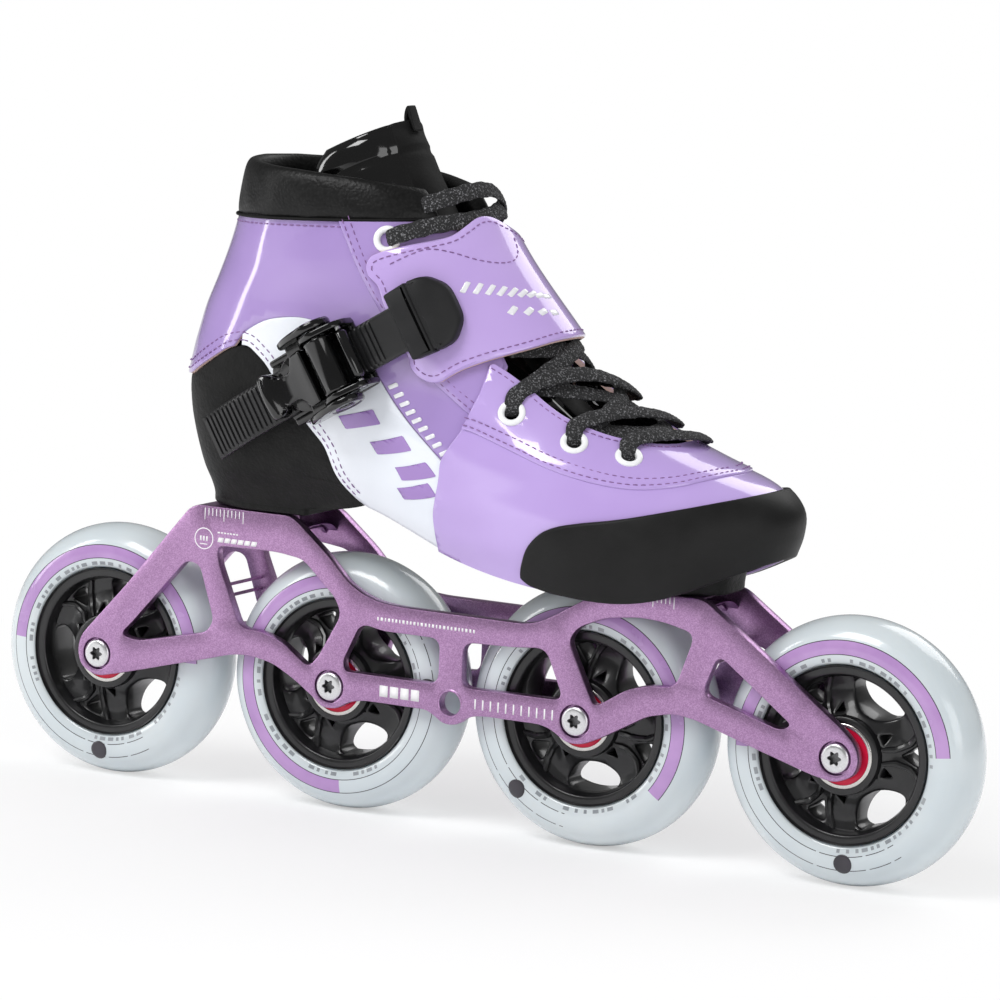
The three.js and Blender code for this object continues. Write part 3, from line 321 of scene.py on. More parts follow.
# ---------------------------------------------------------------- mesh makers
def piece(name, verts, faces, mats, body, node=None, tags=None, slot=None, auto=None,
          recalc=False):
    mesh = bpy.data.meshes.new(name)
    points = (np.asarray(verts, float) + [0, SIDE_SHIFT, 0]) * MM
    mesh.from_pydata(points.tolist(), [], [list(map(int, f)) for f in faces])
    for mat in mats if isinstance(mats, (list, tuple)) else [mats]:
        mesh.materials.append(mat)
    if tags is not None:
        mesh.polygons.foreach_set("material_index", np.asarray(tags, np.int32))
    mesh.polygons.foreach_set("use_smooth", np.full(len(mesh.polygons), True))
    mesh.validate()
    mesh.update()
    if recalc:
        work = bmesh.new()
        work.from_mesh(mesh)
        bmesh.ops.recalc_face_normals(work, faces=work.faces)
        work.to_mesh(mesh)
        work.free()
    obj = bpy.data.objects.new(name, mesh)
    COLLECTION.objects.link(obj)
    if auto:
        work = bmesh.new()
        work.from_mesh(mesh)
        for e in work.edges:
            if len(e.link_faces) == 2 and e.calc_face_angle(0) > math.radians(auto):
                e.smooth = False
        work.to_mesh(mesh)
        work.free()
    if body:
        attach(obj, body)
    if node:
        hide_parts(node)
    return obj


class Parts:
    """Collects meshes that make up one piece."""

    def __init__(self):
        self.verts, self.faces, self.tags, self.count = [], [], [], 0

    def add(self, verts, faces, tags=0):
        self.verts.append(np.asarray(verts, float))
        self.faces += [[i + self.count for i in f] for f in faces]
        self.tags += np.broadcast_to(tags, len(faces)).tolist()
        self.count += len(verts)
        return self

    def make(self, name, mats, body, **options):
        return piece(name, np.concatenate(self.verts), self.faces, mats, body, tags=self.tags,
                     **options)


def grid(points, loop_i=False, loop_j=False, flip=False):
    """Quads over an (ni, nj, 3) array."""
    ni, nj = points.shape[:2]
    faces = []
    for i in range(ni if loop_i else ni - 1):
        for j in range(nj if loop_j else nj - 1):
            row, next_row, next_j = i * nj, ((i + 1) % ni) * nj, (j + 1) % nj
            a, b, c, d = row + j, row + next_j, next_row + next_j, next_row + j
            faces.append([a, d, c, b] if flip else [a, b, c, d])
    return points.reshape(-1, 3), faces


def flipped(mesh):
    return mesh[0], [f[::-1] for f in mesh[1]]


def end_rings(rows, n):
    """Vertex indices of the first and last row of n points."""
    return list(range(n)), [(rows - 1) * n + j for j in range(n)]


def two_layers(front, back, ni, nj, turn=False):
    """Faces of two equal grids joined round their rim; turn reverses the rim faces."""
    n = ni * nj
    ring = [i * nj for i in range(ni)] + [(ni - 1) * nj + j for j in range(1, nj)]
    ring += [i * nj + nj - 1 for i in range(ni - 2, -1, -1)] + list(range(nj - 2, 0, -1))
    faces = [list(f) for f in front] + [[i + n for i in f] for f in back]
    for a, b in zip(ring, ring[1:] + ring[:1]):
        faces.append([a, b, b + n, a + n] if turn else [a, a + n, b + n, b])
    return faces


def sheet_mesh(outline, off, thick, edge, step, holes=(), relief=None, edge_step=1.3,
               rings=(0.0, 0.15, 0.5, 1.0)):
    """A sheet cut to an outline on the boot chart, with a rolled edge and real thickness.
    off: height of the outer face; edge: radius of the roll; rings: its rows as parts of edge.
    The tags are 0 outer face, 1 cut edge, 2 back."""
    off = field(off)
    place = placer(off)
    points, drops, loops, cuts, borders, count = [], [], [], [], [], 0
    for k, loop in enumerate([outline, *holes]):
        spacing = min(edge_step, 0.8) if k else edge_step
        loop = resample(np.asarray(loop, float), spacing, True, place)
        if (signed_area(loop) > 0) != (k == 0):
            loop = loop[::-1]
        space = place(loop)
        axes = chart_axes(place, loop)
        forward = unit(np.roll(space, -1, 0) - np.roll(space, 1, 0))
        inward = np.cross(unit(np.cross(*axes)), forward)
        inward = unit(inward + 0.5 * np.roll(inward, 1, 0) + 0.5 * np.roll(inward, -1, 0))
        move = chart_step(axes, inward)
        borders.append(loop)
        cuts.append(list(range(count, count + len(loop))))
        for f in rings:
            points.append(loop + move * (f * edge))
            drops.append(np.full(len(loop), -edge * (1 - math.sqrt(max(0, 1 - (1 - f) ** 2)))))
            loops.append(list(range(count, count + len(loop))))
            count += len(loop)
    tree = search_tree(np.concatenate([place(loop) for loop in borders]))
    low, high = borders[0].min(0), borders[0].max(0)
    du, dv = step / CHART_MM
    inner = []
    for k, v in enumerate(np.arange(low[1] + dv / 2, high[1], dv)):
        for u in np.arange(low[0] + (du / 2 if k % 2 else du), high[0], du):
            inner.append((u, v))
    inner = np.array(inner)
    inner = inner[in_region(borders, inner)]
    clear = edge + step * 0.42
    inner = inner[np.array([tree.find(Vector(p))[2] > clear for p in place(inner)])]
    points = np.concatenate(points + [inner])
    drop = np.concatenate(drops + [np.zeros(len(inner))])
    tris = triangulate(points, loops, borders, CHART_MM)
    u, v = points[:, 0], points[:, 1]
    height = off(v, u)
    bumps = relief(v, u) if relief is not None else 0.0
    front = boot_at(v, u, height + drop + bumps * (drop > -1e-6))
    back = boot_at(v, u, height - thick)
    n = len(points)
    faces = [list(t) for t in tris] + [[t[0] + n, t[2] + n, t[1] + n] for t in tris]
    tags = [0] * len(tris) + [2] * len(tris)
    for loop in cuts:
        faces += [[a, a + n, b + n, b] for a, b in zip(loop, loop[1:] + loop[:1])]
        tags += [1] * len(loop)
    return np.concatenate([front, back]), faces, tags


def sheet(name, outline, off, thick, mats, body="chassis", node=None, slot=None, **shape):
    """mats: outer face, cut edge, back."""
    verts, faces, tags = sheet_mesh(outline, off, thick, **shape)
    return piece(name, verts, faces, mats, body, node=node, tags=tags, slot=slot, auto=50)


def stitches(name, line, off, body="chassis", length=1.9, gap=0.75, radius=0.20, dip=0.25):
    """Thread: one small bowed capsule per stitch along a chart line."""
    off = field(off)
    place = placer(off)
    line = resample(np.asarray(line, float), 0.4, False, place)
    path = place(line)
    u, v = line[:, 0], line[:, 1]
    normals = unit(boot_at(v, u, off(v, u) + 1) - path)
    travel = arc_length(path)
    pitch = length + gap
    n, sides = int(travel[-1] / pitch), 5
    stations = np.array([0, 0.12, 0.5, 0.88, 1.0])
    radii = np.array([0.35, 0.9, 1.0, 0.9, 0.35]) * radius
    bow = np.array([-0.9, -0.1, 0.35, -0.1, -0.9]) * dip
    starts = np.arange(n) * pitch + gap / 2
    t = (starts[:, None] + stations[None, :] * length).ravel()
    centre = along(t, travel, path).reshape(n, 5, 3)
    normal = unit(along(t, travel, normals).reshape(n, 5, 3))
    forward = unit(centre[:, -1] - centre[:, 0])[:, None, :].repeat(5, 1)
    side = unit(np.cross(forward, normal))
    centre = centre + normal * bow[None, :, None]
    a = angles(sides)[None, None, :, None]
    ring = normal[:, :, None, :] * np.cos(a) + side[:, :, None, :] * np.sin(a)
    verts = centre[:, :, None, :] + ring * radii[None, :, None, None]
    faces = []
    for i in range(n):
        first = i * 5 * sides
        for t in range(4):
            for k in range(sides):
                near, far, k1 = first + t * sides, first + (t + 1) * sides, (k + 1) % sides
                faces.append([near + k, near + k1, far + k1, far + k])
        faces.append([first + k for k in range(sides)][::-1])
        faces.append([first + 4 * sides + k for k in range(sides)])
    piece(name, verts.reshape(-1, 3), faces, thread, body)


def plate(loops, face_y, bevel, n, step=None):
    """A plate in the x-z plane with rounded edges. loops: outline, then holes.
    face_y: the two y values, or a function of (x, z, side); n: rows in a bevel;
    step: spacing of extra points on the faces."""
    rims, insets, index, count = [], [], [], 0
    for k, loop in enumerate(loops):
        loop = np.asarray(loop, float)
        if (signed_area(loop) > 0) != (k == 0):
            loop = loop[::-1]
        a, b = unit(loop - np.roll(loop, 1, 0)), unit(np.roll(loop, -1, 0) - loop)
        normal_a = np.stack([-a[:, 1], a[:, 0]], -1)
        mitre = unit(normal_a + np.stack([-b[:, 1], b[:, 0]], -1))
        stretch = 1 / np.clip((mitre * normal_a).sum(-1), 0.5, 1)
        rims.append(loop)
        insets.append(loop + mitre * (bevel * stretch)[:, None])
        index.append(list(range(count, count + len(loop))))
        count += len(loop)
    inset, rim = np.concatenate(insets), np.concatenate(rims)
    extra = np.zeros((0, 2))
    if step:
        low, high = rims[0].min(0), rims[0].max(0)
        xs, zs = np.meshgrid(np.arange(low[0], high[0], step), np.arange(low[1], high[1], step))
        extra = np.stack([xs.ravel(), zs.ravel()], -1)
        extra = extra[in_region(insets, extra)]
        tree = search_tree([(p[0], p[1], 0) for p in inset])
        extra = np.array([p for p in extra if tree.find((p[0], p[1], 0))[2] > step * .5])
        extra = extra.reshape(-1, 2)
    flat = np.concatenate([inset, extra])
    tris = triangulate(flat, index, insets)
    if callable(face_y):
        y_of = lambda p, side: face_y(p[:, 0], p[:, 1], side)
    else:
        y_of = lambda p, side: np.full(len(p), face_y[side])
    verts = [np.stack([flat[:, 0], y_of(flat, s), flat[:, 1]], -1) for s in (0, 1)]
    n_flat, n_rim = len(flat), len(rim)
    faces = [list(t) for t in tris]
    faces += [[t[0] + n_flat, t[2] + n_flat, t[1] + n_flat] for t in tris]

    def join(p, q, side):
        for loop in index:
            for a, b in zip(loop, loop[1:] + loop[:1]):
                faces.append([p[a], p[b], q[b], q[a]] if side else [p[a], q[a], q[b], p[b]])

    previous = [np.arange(n_rim), np.arange(n_rim) + n_flat]
    start = 2 * n_flat
    for t in np.linspace(0, 1, n + 1)[1:]:
        out, depth = math.sin(t * pi / 2), 1 - math.cos(t * pi / 2)
        p = inset + (rim - inset) * out
        for s, sign in ((0, 1), (1, -1)):
            y_inset, y_rim = y_of(inset, s), y_of(rim, s)
            y = y_inset + (y_rim - y_inset) * out + sign * depth * bevel
            verts.append(np.stack([p[:, 0], y, p[:, 1]], -1))
            current = np.arange(n_rim) + start
            start += n_rim
            join(previous[s], current, s)
            previous[s] = current
    join(*previous, 0)
    return np.concatenate(verts), faces


def lathe(profile, seg, centre=(0, 0, 0), axis="y", closed=True, caps=False):
    """Turns (radius, height) rows about y or z; a radius may be an array of seg values."""
    a = angles(seg)
    radius = np.array([np.broadcast_to(r, seg) for r, _ in profile], float)
    height = np.repeat(np.array([h for _, h in profile], float)[:, None], seg, 1)
    x, other = radius * np.cos(a), radius * np.sin(a)
    points = np.stack([x, height, other] if axis == "y" else [x, other, height], -1)
    verts, faces = grid(points + np.asarray(centre, float), closed, True, axis == "z")
    if caps:
        first, last = end_rings(len(radius), seg)
        faces += [first, last[::-1]]
    return verts, faces


def bolt_mesh(profile, seg, centre, axis="y"):
    """An open turned profile with both ends closed."""
    verts, faces = lathe(profile, seg, centre, axis, closed=False)
    first, last = end_rings(len(profile), seg)
    return verts, faces + ([first, last[::-1]] if axis == "z" else [first[::-1], last])


def tube(path, radius, up=(0, 0, 1.0)):
    """Eight-sided tube along a path."""
    path = np.asarray(path, float)
    forward = unit(np.gradient(path, axis=0))
    side = unit(np.cross(forward, np.array(up, float)))
    normal = np.cross(side, forward)
    a = angles(8)[None, :, None]
    radius = np.broadcast_to(np.asarray(radius, float), (len(path),))
    ring = side[:, None] * np.cos(a) + normal[:, None] * np.sin(a)
    verts, faces = grid(path[:, None] + ring * radius[:, None, None], loop_j=True, flip=True)
    first, last = end_rings(len(path), 8)
    return verts, faces + [first, last[::-1]]


# ---------------------------------------------------------------- materials
def add_node(tree, kind, **settings):
    node = tree.nodes.new(kind)
    for key, value in settings.items():
        setattr(node, key, value)
    return node


def map_range(tree, value, low, high, start=0.0, end=1.0):
    node = add_node(tree, "ShaderNodeMapRange")
    for key, number in (("From Min", start), ("From Max", end), ("To Min", low),
                        ("To Max", high)):
        node.inputs[key].default_value = number
    tree.links.new(value, node.inputs["Value"])
    return node.outputs["Result"]


def multiply(tree, a, b):
    node = add_node(tree, "ShaderNodeMath", operation="MULTIPLY")
    tree.links.new(a, node.inputs[0])
    tree.links.new(b, node.inputs[1])
    return node.outputs[0]


class Look:
    """A material under construction; bump distances are in metres."""

    def __init__(self, name, colour, rough, metallic=0.0, coat=0.0, coat_rough=0.03, spec=0.5):
        self.material = bpy.data.materials.new(name)
        self.material.use_nodes = True
        self.tree = self.material.node_tree
        self.shader = self.tree.nodes["Principled BSDF"]
        self.set("Base Color", (*colour, 1))
        self.set("Roughness", rough)
        self.set("Metallic", metallic)
        self.set("Coat Weight", coat)
        self.set("Coat Roughness", coat_rough)
        self.set("Specular IOR Level", spec)
        self.coords = self.node("ShaderNodeTexCoord").outputs["Object"]

    def set(self, key, value):
        self.shader.inputs[key].default_value = value

    def node(self, kind, **settings):
        return add_node(self.tree, kind, **settings)

    def link(self, a, b):
        self.tree.links.new(a, b)

    def noise(self, scale, detail=3.0, rough=0.5, coords=None):
        node = self.node("ShaderNodeTexNoise")
        node.inputs["Scale"].default_value = scale
        node.inputs["Detail"].default_value = detail
        node.inputs["Roughness"].default_value = rough
        self.link(coords or self.coords, node.inputs["Vector"])
        return node.outputs["Fac"]

    def ramp(self, factor, colours, start=0.0, end=1.0):
        node = self.node("ShaderNodeValToRGB")
        for stop, place, colour in zip(node.color_ramp.elements, (start, end), colours):
            stop.position = place
            stop.color = (*colour, 1)
        self.link(factor, node.inputs["Fac"])
        return node.outputs["Color"]

    def colour(self, *args, **stops):
        self.link(self.ramp(*args, **stops), self.shader.inputs["Base Color"])

    def bump(self, height, strength, distance, under=None):
        node = self.node("ShaderNodeBump")
        node.inputs["Strength"].default_value = strength
        node.inputs["Distance"].default_value = distance
        self.link(height, node.inputs["Height"])
        if under is not None:
            self.link(under, node.inputs["Normal"])
        self.link(node.outputs["Normal"], self.shader.inputs["Normal"])
        return node.outputs["Normal"]

    def roughness(self, factor, low, high):
        self.link(map_range(self.tree, factor, low, high), self.shader.inputs["Roughness"])


def patent(name, *colours, rough=0.16, coat=1.0, wave=0.35):
    """Glossy leather; wave: strength of the slow unevenness."""
    look = Look(name, colours[0], rough, coat=coat, coat_rough=0.02)
    look.colour(look.noise(scale=22, detail=2), colours, start=0.35, end=0.68)
    slow = look.bump(look.noise(scale=45, detail=2, rough=0.45), wave * 0.5, distance=0.0012)
    look.bump(look.noise(scale=900, detail=2), strength=0.05, distance=0.0002, under=slow)
    look.roughness(look.noise(scale=60, detail=2), rough * 0.7, rough * 1.5)
    return look.material


def matte(name, *colours, rough=0.7, grain=900, strength=0.4, distance=0.0002, tone=120,
          spec=0.4):
    """grain and tone: noise scales of the bump and of the colour."""
    look = Look(name, colours[0], rough, coat_rough=0.2, spec=spec)
    look.colour(look.noise(scale=tone, detail=4), colours, start=0.3, end=0.7)
    look.bump(look.noise(scale=grain, detail=3, rough=0.6), strength, distance)
    look.roughness(look.noise(scale=tone * 2, detail=3), rough * 0.85, min(1, rough * 1.12))
    return look.material


def pebbled(name, dark, light, rough=0.42):
    """Grained leather from cells whose places are shaken by noise."""
    look = Look(name, dark, rough, coat_rough=0.15, spec=0.28)
    shake = look.node("ShaderNodeVectorMath", operation="MULTIPLY_ADD")
    look.link(look.noise(scale=220, detail=2), shake.inputs[0])
    shake.inputs[1].default_value = (0.002,) * 3
    look.link(look.coords, shake.inputs[2])
    cells = look.node("ShaderNodeTexVoronoi", feature="SMOOTH_F1")
    cells.inputs["Scale"].default_value = 1000
    look.link(shake.outputs[0], cells.inputs["Vector"])
    look.colour(cells.outputs["Distance"], (light, dark), start=0.1, end=0.7)
    invert = look.node("ShaderNodeMath", operation="SUBTRACT")
    invert.inputs[0].default_value = 1.0
    look.link(cells.outputs["Distance"], invert.inputs[1])
    look.bump(invert.outputs[0], strength=0.45, distance=0.0003)
    look.roughness(look.noise(scale=90, detail=3), rough * 0.85, rough * 1.2)
    return look.material


def metal(name, *colours, rough):
    look = Look(name, colours[0], rough, metallic=1.0)
    grain = look.noise(scale=2500, detail=3)
    look.colour(grain, colours, start=0.3, end=0.7)
    look.bump(grain, strength=0.08, distance=0.0001)
    look.roughness(grain, rough * 0.8, rough * 1.25)
    return look.material


def flake_metal(name, *colours, rough):
    """Metal of small cells, each with its own tone, tilt and gloss."""
    look = Look(name, colours[0], rough, metallic=1.0)
    cells = look.node("ShaderNodeTexVoronoi")
    cells.inputs["Scale"].default_value = 3400
    look.link(look.coords, cells.inputs["Vector"])
    split = look.node("ShaderNodeSeparateColor")
    look.link(cells.outputs["Color"], split.inputs[0])
    look.colour(split.outputs[0], colours, start=0.25, end=0.95)
    look.bump(split.outputs[1], strength=0.12, distance=0.00005)
    look.roughness(split.outputs[2], rough * 0.8, rough * 1.3)
    return look.material


def plastic(name, *colours, rough, coat=0.6, grain=300, strength=0.06):
    look = Look(name, colours[0], rough, coat=coat)
    look.colour(look.noise(scale=80, detail=3), colours, start=0.35, end=0.65)
    look.bump(look.noise(scale=grain, detail=2), strength, distance=0.0003)
    look.roughness(look.noise(scale=140, detail=2), rough * 0.8, rough * 1.25)
    return look.material


def tyre_look():
    look = Look("tyre_milky", (0.72, 0.76, 0.78), rough=0.22, coat=0.7, coat_rough=0.06)
    look.set("Subsurface Weight", 0.25)
    look.set("Subsurface Radius", (0.008, 0.009, 0.010))
    look.set("Subsurface Scale", 1.0)
    look.colour(look.noise(scale=30, detail=2), ((0.575, 0.635, 0.665), (0.64, 0.69, 0.71)),
                start=0.3, end=0.7)
    look.bump(look.noise(scale=120, detail=2), strength=0.06, distance=0.0004)
    look.roughness(look.noise(scale=70, detail=3), low=0.17, high=0.30)
    return look.material


def lace_look():
    """Black weave with light flecks, darkened in patches."""
    look = Look("lace_woven", (0.012, 0.012, 0.012), rough=0.85)
    mapping = look.node("ShaderNodeMapping")
    look.link(look.coords, mapping.inputs["Vector"])
    flecks = look.noise(scale=1500, detail=2, rough=0.7, coords=mapping.outputs[0])
    patches = look.noise(scale=180, detail=2, coords=mapping.outputs[0])
    weave = look.ramp(flecks, ((0.009, 0.009, 0.010), (0.36, 0.36, 0.38)), start=0.55, end=0.66)
    mix = look.node("ShaderNodeMix", data_type="RGBA")
    look.link(patches, mix.inputs[0])
    look.link(weave, mix.inputs[6])
    mix.inputs[7].default_value = (0.02, 0.02, 0.021, 1)
    look.link(mix.outputs[2], look.shader.inputs["Base Color"])
    look.bump(look.noise(scale=2600, detail=2), strength=0.5, distance=0.0002)
    return look.material


lilac = patent("patent_lilac", (0.355, 0.245, 0.55), (0.41, 0.29, 0.61))
vamp_lilac = patent("patent_lilac_vamp", (0.47, 0.33, 0.70), (0.525, 0.385, 0.765))
strap_lilac = patent("patent_lilac_strap", (0.50, 0.355, 0.73), (0.56, 0.41, 0.79))
white = patent("patent_white", (0.80, 0.84, 0.91), (0.86, 0.89, 0.95))
tan_edge = matte("raw_edge_tan", (0.62, 0.42, 0.38), (0.72, 0.52, 0.47), rough=0.8)
mauve_edge = matte("raw_edge_mauve", (0.36, 0.25, 0.50), (0.42, 0.30, 0.56))
leather_back = matte("leather_back", (0.05, 0.045, 0.05), (0.07, 0.065, 0.07), rough=0.95)
thread = matte("thread_mauve", (0.19, 0.09, 0.24), (0.32, 0.18, 0.40), rough=0.75, grain=3000,
               strength=0.3, distance=0.0001)
# a spare thread colour, on no piece
matte("thread_dark", (0.03, 0.025, 0.035), (0.07, 0.05, 0.08), rough=0.8, grain=3000,
      strength=0.3, distance=0.0001)
shell_black = matte("shell_black", (0.004, 0.004, 0.004), (0.010, 0.010, 0.0095), rough=0.55,
                    grain=520, strength=0.6, distance=0.0006, tone=160, spec=0.2)
rubber = matte("bumper_rubber", (0.008, 0.008, 0.008), (0.013, 0.013, 0.013), rough=0.5,
               grain=1100, strength=0.25, tone=70, spec=0.22)
collar_black = pebbled("collar_leather", (0.003, 0.003, 0.003), (0.008, 0.008, 0.008))
lining = matte("lining_mesh", (0.005, 0.005, 0.006), (0.013, 0.013, 0.014), rough=0.95,
               grain=1600, strength=0.8, distance=0.0004, spec=0.2)
black_patent = patent("patent_black", (0.002, 0.002, 0.002), (0.004, 0.004, 0.004), rough=0.09,
                      coat=0.7, wave=0.9)
trim = matte("trim_black", (0.005, 0.005, 0.005), (0.010, 0.010, 0.010), grain=1200, spec=0.2)
cap_black = matte("cap_black", (0.012, 0.012, 0.013), (0.019, 0.019, 0.02), rough=0.5,
                  grain=1000, strength=0.2, distance=0.00015, tone=70, spec=0.3)
gloss_black = plastic("gloss_black", (0.002, 0.002, 0.0022), (0.004, 0.004, 0.0045), rough=0.13)
ladder_black = plastic("ladder_black", (0.006, 0.006, 0.0065), (0.011, 0.011, 0.012),
                       rough=0.36, coat=0.1)
eyelet_white = plastic("eyelet_white", (0.86, 0.87, 0.88), (0.90, 0.91, 0.92), rough=0.25,
                       coat=0.5)
tyre_milky = tyre_look()
band_lilac = plastic("print_lilac", (0.40, 0.23, 0.50), (0.47, 0.28, 0.57), rough=0.25)
line_dark = plastic("print_dark", (0.02, 0.018, 0.024), (0.04, 0.035, 0.045), rough=0.35,
                    coat=0.4)
dash_grey = plastic("print_grey", (0.22, 0.24, 0.26), (0.30, 0.32, 0.34), rough=0.35, coat=0.4)
hub_black = plastic("hub_black", (0.0055, 0.0055, 0.006), (0.011, 0.011, 0.012), rough=0.33,
                    coat=0.3, grain=200, strength=0.10)
shield_red = plastic("bearing_shield_red", (0.62, 0.008, 0.045), (0.74, 0.015, 0.06),
                     rough=0.30, coat=0.5)
race_steel = metal("bearing_steel", (0.62, 0.60, 0.57), (0.74, 0.72, 0.69), rough=0.22)
bolt_steel = metal("bolt_steel", (0.70, 0.70, 0.71), (0.84, 0.84, 0.85), rough=0.33)
# darker copy of the bolt steel for the axle's socket: painted shade in the recess
painted_shade_steel = metal("painted_shade_steel", (0.16, 0.16, 0.165), (0.26, 0.26, 0.265), rough=0.45)
frame_lilac = flake_metal("anodised_lilac", (0.41, 0.235, 0.43), (0.57, 0.355, 0.59), rough=0.35)
frame_print = plastic("print_white", (0.86, 0.85, 0.87), (0.92, 0.91, 0.93), rough=0.4,
                      coat=0.2)
lace_black = lace_look()

# ---------------------------------------------------------------- boot: chart lines (u, v)
SHELL_TOP = [
    (0.0, 5.12), (0.06, 5.15), (0.133, 5.25), (0.18, 5.6), (0.223, 6.02), (0.262, 6.42),
    (0.291, 6.60), (0.312, 6.62), (0.326, 6.47), (0.342, 6.2), (0.352, 5.85), (0.366, 5.1),
    (0.374, 4.3), (0.376, 3.2), (0.371, 1.82), (0.376, 0.9), (0.387, 0.21), (0.398, -0.05)]
PANEL_ARC = [
    (0.287, 6.66), (0.30, 6.95), (0.325, 7.25), (0.36, 7.5), (0.41, 7.65), (0.45, 7.64),
    (0.479, 7.52), (0.506, 7.2), (0.528, 6.70)]
VAMP_REAR = [
    (0.484, -0.04), (0.4865, 0.9), (0.491, 1.81), (0.509, 2.8), (0.533, 3.63), (0.568, 4.35),
    (0.609, 5.06), (0.652, 5.80), (0.698, 6.50), (0.728, 6.93), (0.740, 7.10)]
THROAT = [
    (0.748, 7.13), (0.762, 6.93), (0.772, 6.7), (0.779, 6.45), (0.784, 6.1), (0.790, 5.8),
    (0.800, 5.56), (0.814, 5.36), (0.834, 5.18), (0.864, 5.04), (0.904, 4.92), (0.956, 4.88),
    (1.0, 4.90)]
STAY_REAR = [
    (0.556, 9.44), (0.566, 8.85), (0.580, 8.2), (0.598, 7.4), (0.612, 6.7), (0.624, 6.2),
    (0.634, 5.75), (0.640, 5.45)]
FACING_LOW = [
    (0.606, 5.02), (0.622, 4.92), (0.648, 4.52), (0.676, 4.03), (0.71, 3.68), (0.759, 3.43),
    (0.818, 3.42), (0.88, 3.56), (0.94, 3.66), (1.0, 3.68)]
BUMPER_TOP = [
    (0.5885, 0.15), (0.590, 0.5), (0.5935, 0.85), (0.602, 1.41), (0.617, 1.86), (0.637, 2.15),
    (0.662, 2.34), (0.693, 2.49), (0.757, 2.68), (0.827, 2.77), (0.919, 2.82), (1.0, 2.85)]
EYELETS = [(0.652, 9.66), (0.707, 5.74), (0.756, 4.90), (0.813, 4.46)]   # lateral side
EYELET_HOLE_R = 2.6
COLLAR_SEAM = 10.08                # v of the line where the collar meets the quarter
shell_top, panel_arc, vamp_rear, throat, facing_low = map(
    curve, (SHELL_TOP, PANEL_ARC, VAMP_REAR, THROAT, FACING_LOW))
stay_rear = curve([(0.545, COLLAR_SEAM + 0.02)] + STAY_REAR)


def wrinkle(v, u):
    """Slow unevenness of lasted leather."""
    return (0.22 * np.sin(9.1 * u + 1.7 * v) * np.sin(1.1 * v - 5 * u + 1)
            + 0.12 * np.sin(23 * u - 2.3 * v + 0.6) * np.sin(2.9 * v + 1.9))


# ---------------------------------------------------------------- black shell
def sole_pair(v, off, u=np.arccos(1 - 2 * np.linspace(0.004, 0.996, 90)) / pi):
    """The lateral and medial line at height v."""
    rows = np.full(len(u), v)
    return boot_at(rows, u, off), boot_at(rows, 2 - u, off)


def add_sole(parts):
    """Plate that closes the bottom between the two sole lines."""
    lateral, medial = sole_pair(0.0, -1.6)
    rim_lateral, rim_medial = sole_pair(0.35, -1.8)
    rows = [rim_lateral, lateral]
    for k in np.linspace(0.06, 0.94, 13):
        sag = np.array([0, 0, -1.0]) * math.sin(k * pi) ** 0.5 * 1.6
        rows.append(lateral + (medial - lateral) * k + sag)
    under = np.array(rows + [medial, rim_medial])
    under[1:-1, :, 2] = np.maximum(under[1:-1, :, 2], 92.0)
    upper = under.copy()
    upper[1:-1, :, 2] += 4.0
    upper[[0, -1]] = under[[0, -1]] + [0, 0, 2.0]
    parts.add(*grid(under.transpose(1, 0, 2), flip=True))
    parts.add(*grid(upper.transpose(1, 0, 2)))


def block(plan, foot_z, bevel, taper, top_z, n=4):
    """Upright block over a plan outline: bevelled foot, top height from top_z(x)."""
    forward = unit(np.roll(plan, -1, 0) - np.roll(plan, 1, 0))
    normal = np.stack([forward[:, 1], -forward[:, 0]], -1)
    clockwise = signed_area(plan) < 0
    if clockwise:
        normal = -normal
    rows = []
    for k in range(n + 1):
        t = k / n * pi / 2
        z = np.full(len(plan), foot_z + bevel * (1 - math.cos(t)))
        rows.append(np.column_stack([plan - normal * bevel * (1 - math.sin(t)), z]))
    rise = top_z(plan[:, 0]) - foot_z - bevel
    for f in np.linspace(0.15, 1, 6):
        rows.append(np.column_stack([plan + normal * taper * f * f, foot_z + bevel + rise * f]))
    verts, faces = grid(np.array(rows), loop_j=True, flip=clockwise)
    foot = list(range(len(plan)))
    return verts, faces + [foot if clockwise else foot[::-1]]


def pedestal_plan():
    """Plan outline under the heel, a little inside the sole line."""
    u = np.linspace(0, 0.40, 60)
    sides = []
    for line in (surf(0 * u, u), surf(0 * u, 2 - u)):
        line = line[line[:, 0] < -58.2]
        narrow = np.interp(line[:, 0], [-105, -90, -58], [0.80, 0.80, 0.74])
        sides.append(np.stack([line[:, 0] * 0.985 - 1.3, line[:, 1] * narrow], -1))
    plan = np.concatenate([sides[0][::-1], sides[1][1:]])
    return resample(smooth_loop(resample(plan, 3.0), 1.2, 2), 1.4)


def add_skirt(parts, pedestal):
    """The cup runs down into the pedestal in one curve."""
    u = np.linspace(-0.41, 0.41, 90)
    top = boot_at(np.full(90, 0.75), u, -1.22)
    lower = boot_at(np.full(90, 0.30), u, -1.22)
    plan = resample(pedestal, 0.5)
    foot = []
    for p in top:
        target = np.array([min(max(p[0] * 0.985 - 1.2, -104.6), -57.8), p[1] * 0.76])
        k = np.argmin(np.hypot(*(plan - target).T))
        foot.append([plan[k, 0], plan[k, 1], 105.4])
    foot = np.array(foot)
    bend = lower + (lower - top) * 0.9
    rows = [(1 - t) ** 2 * top + 2 * t * (1 - t) * bend + t * t * foot
            for t in np.linspace(0, 1, 12)]
    parts.add(*grid(np.array(rows), flip=True))


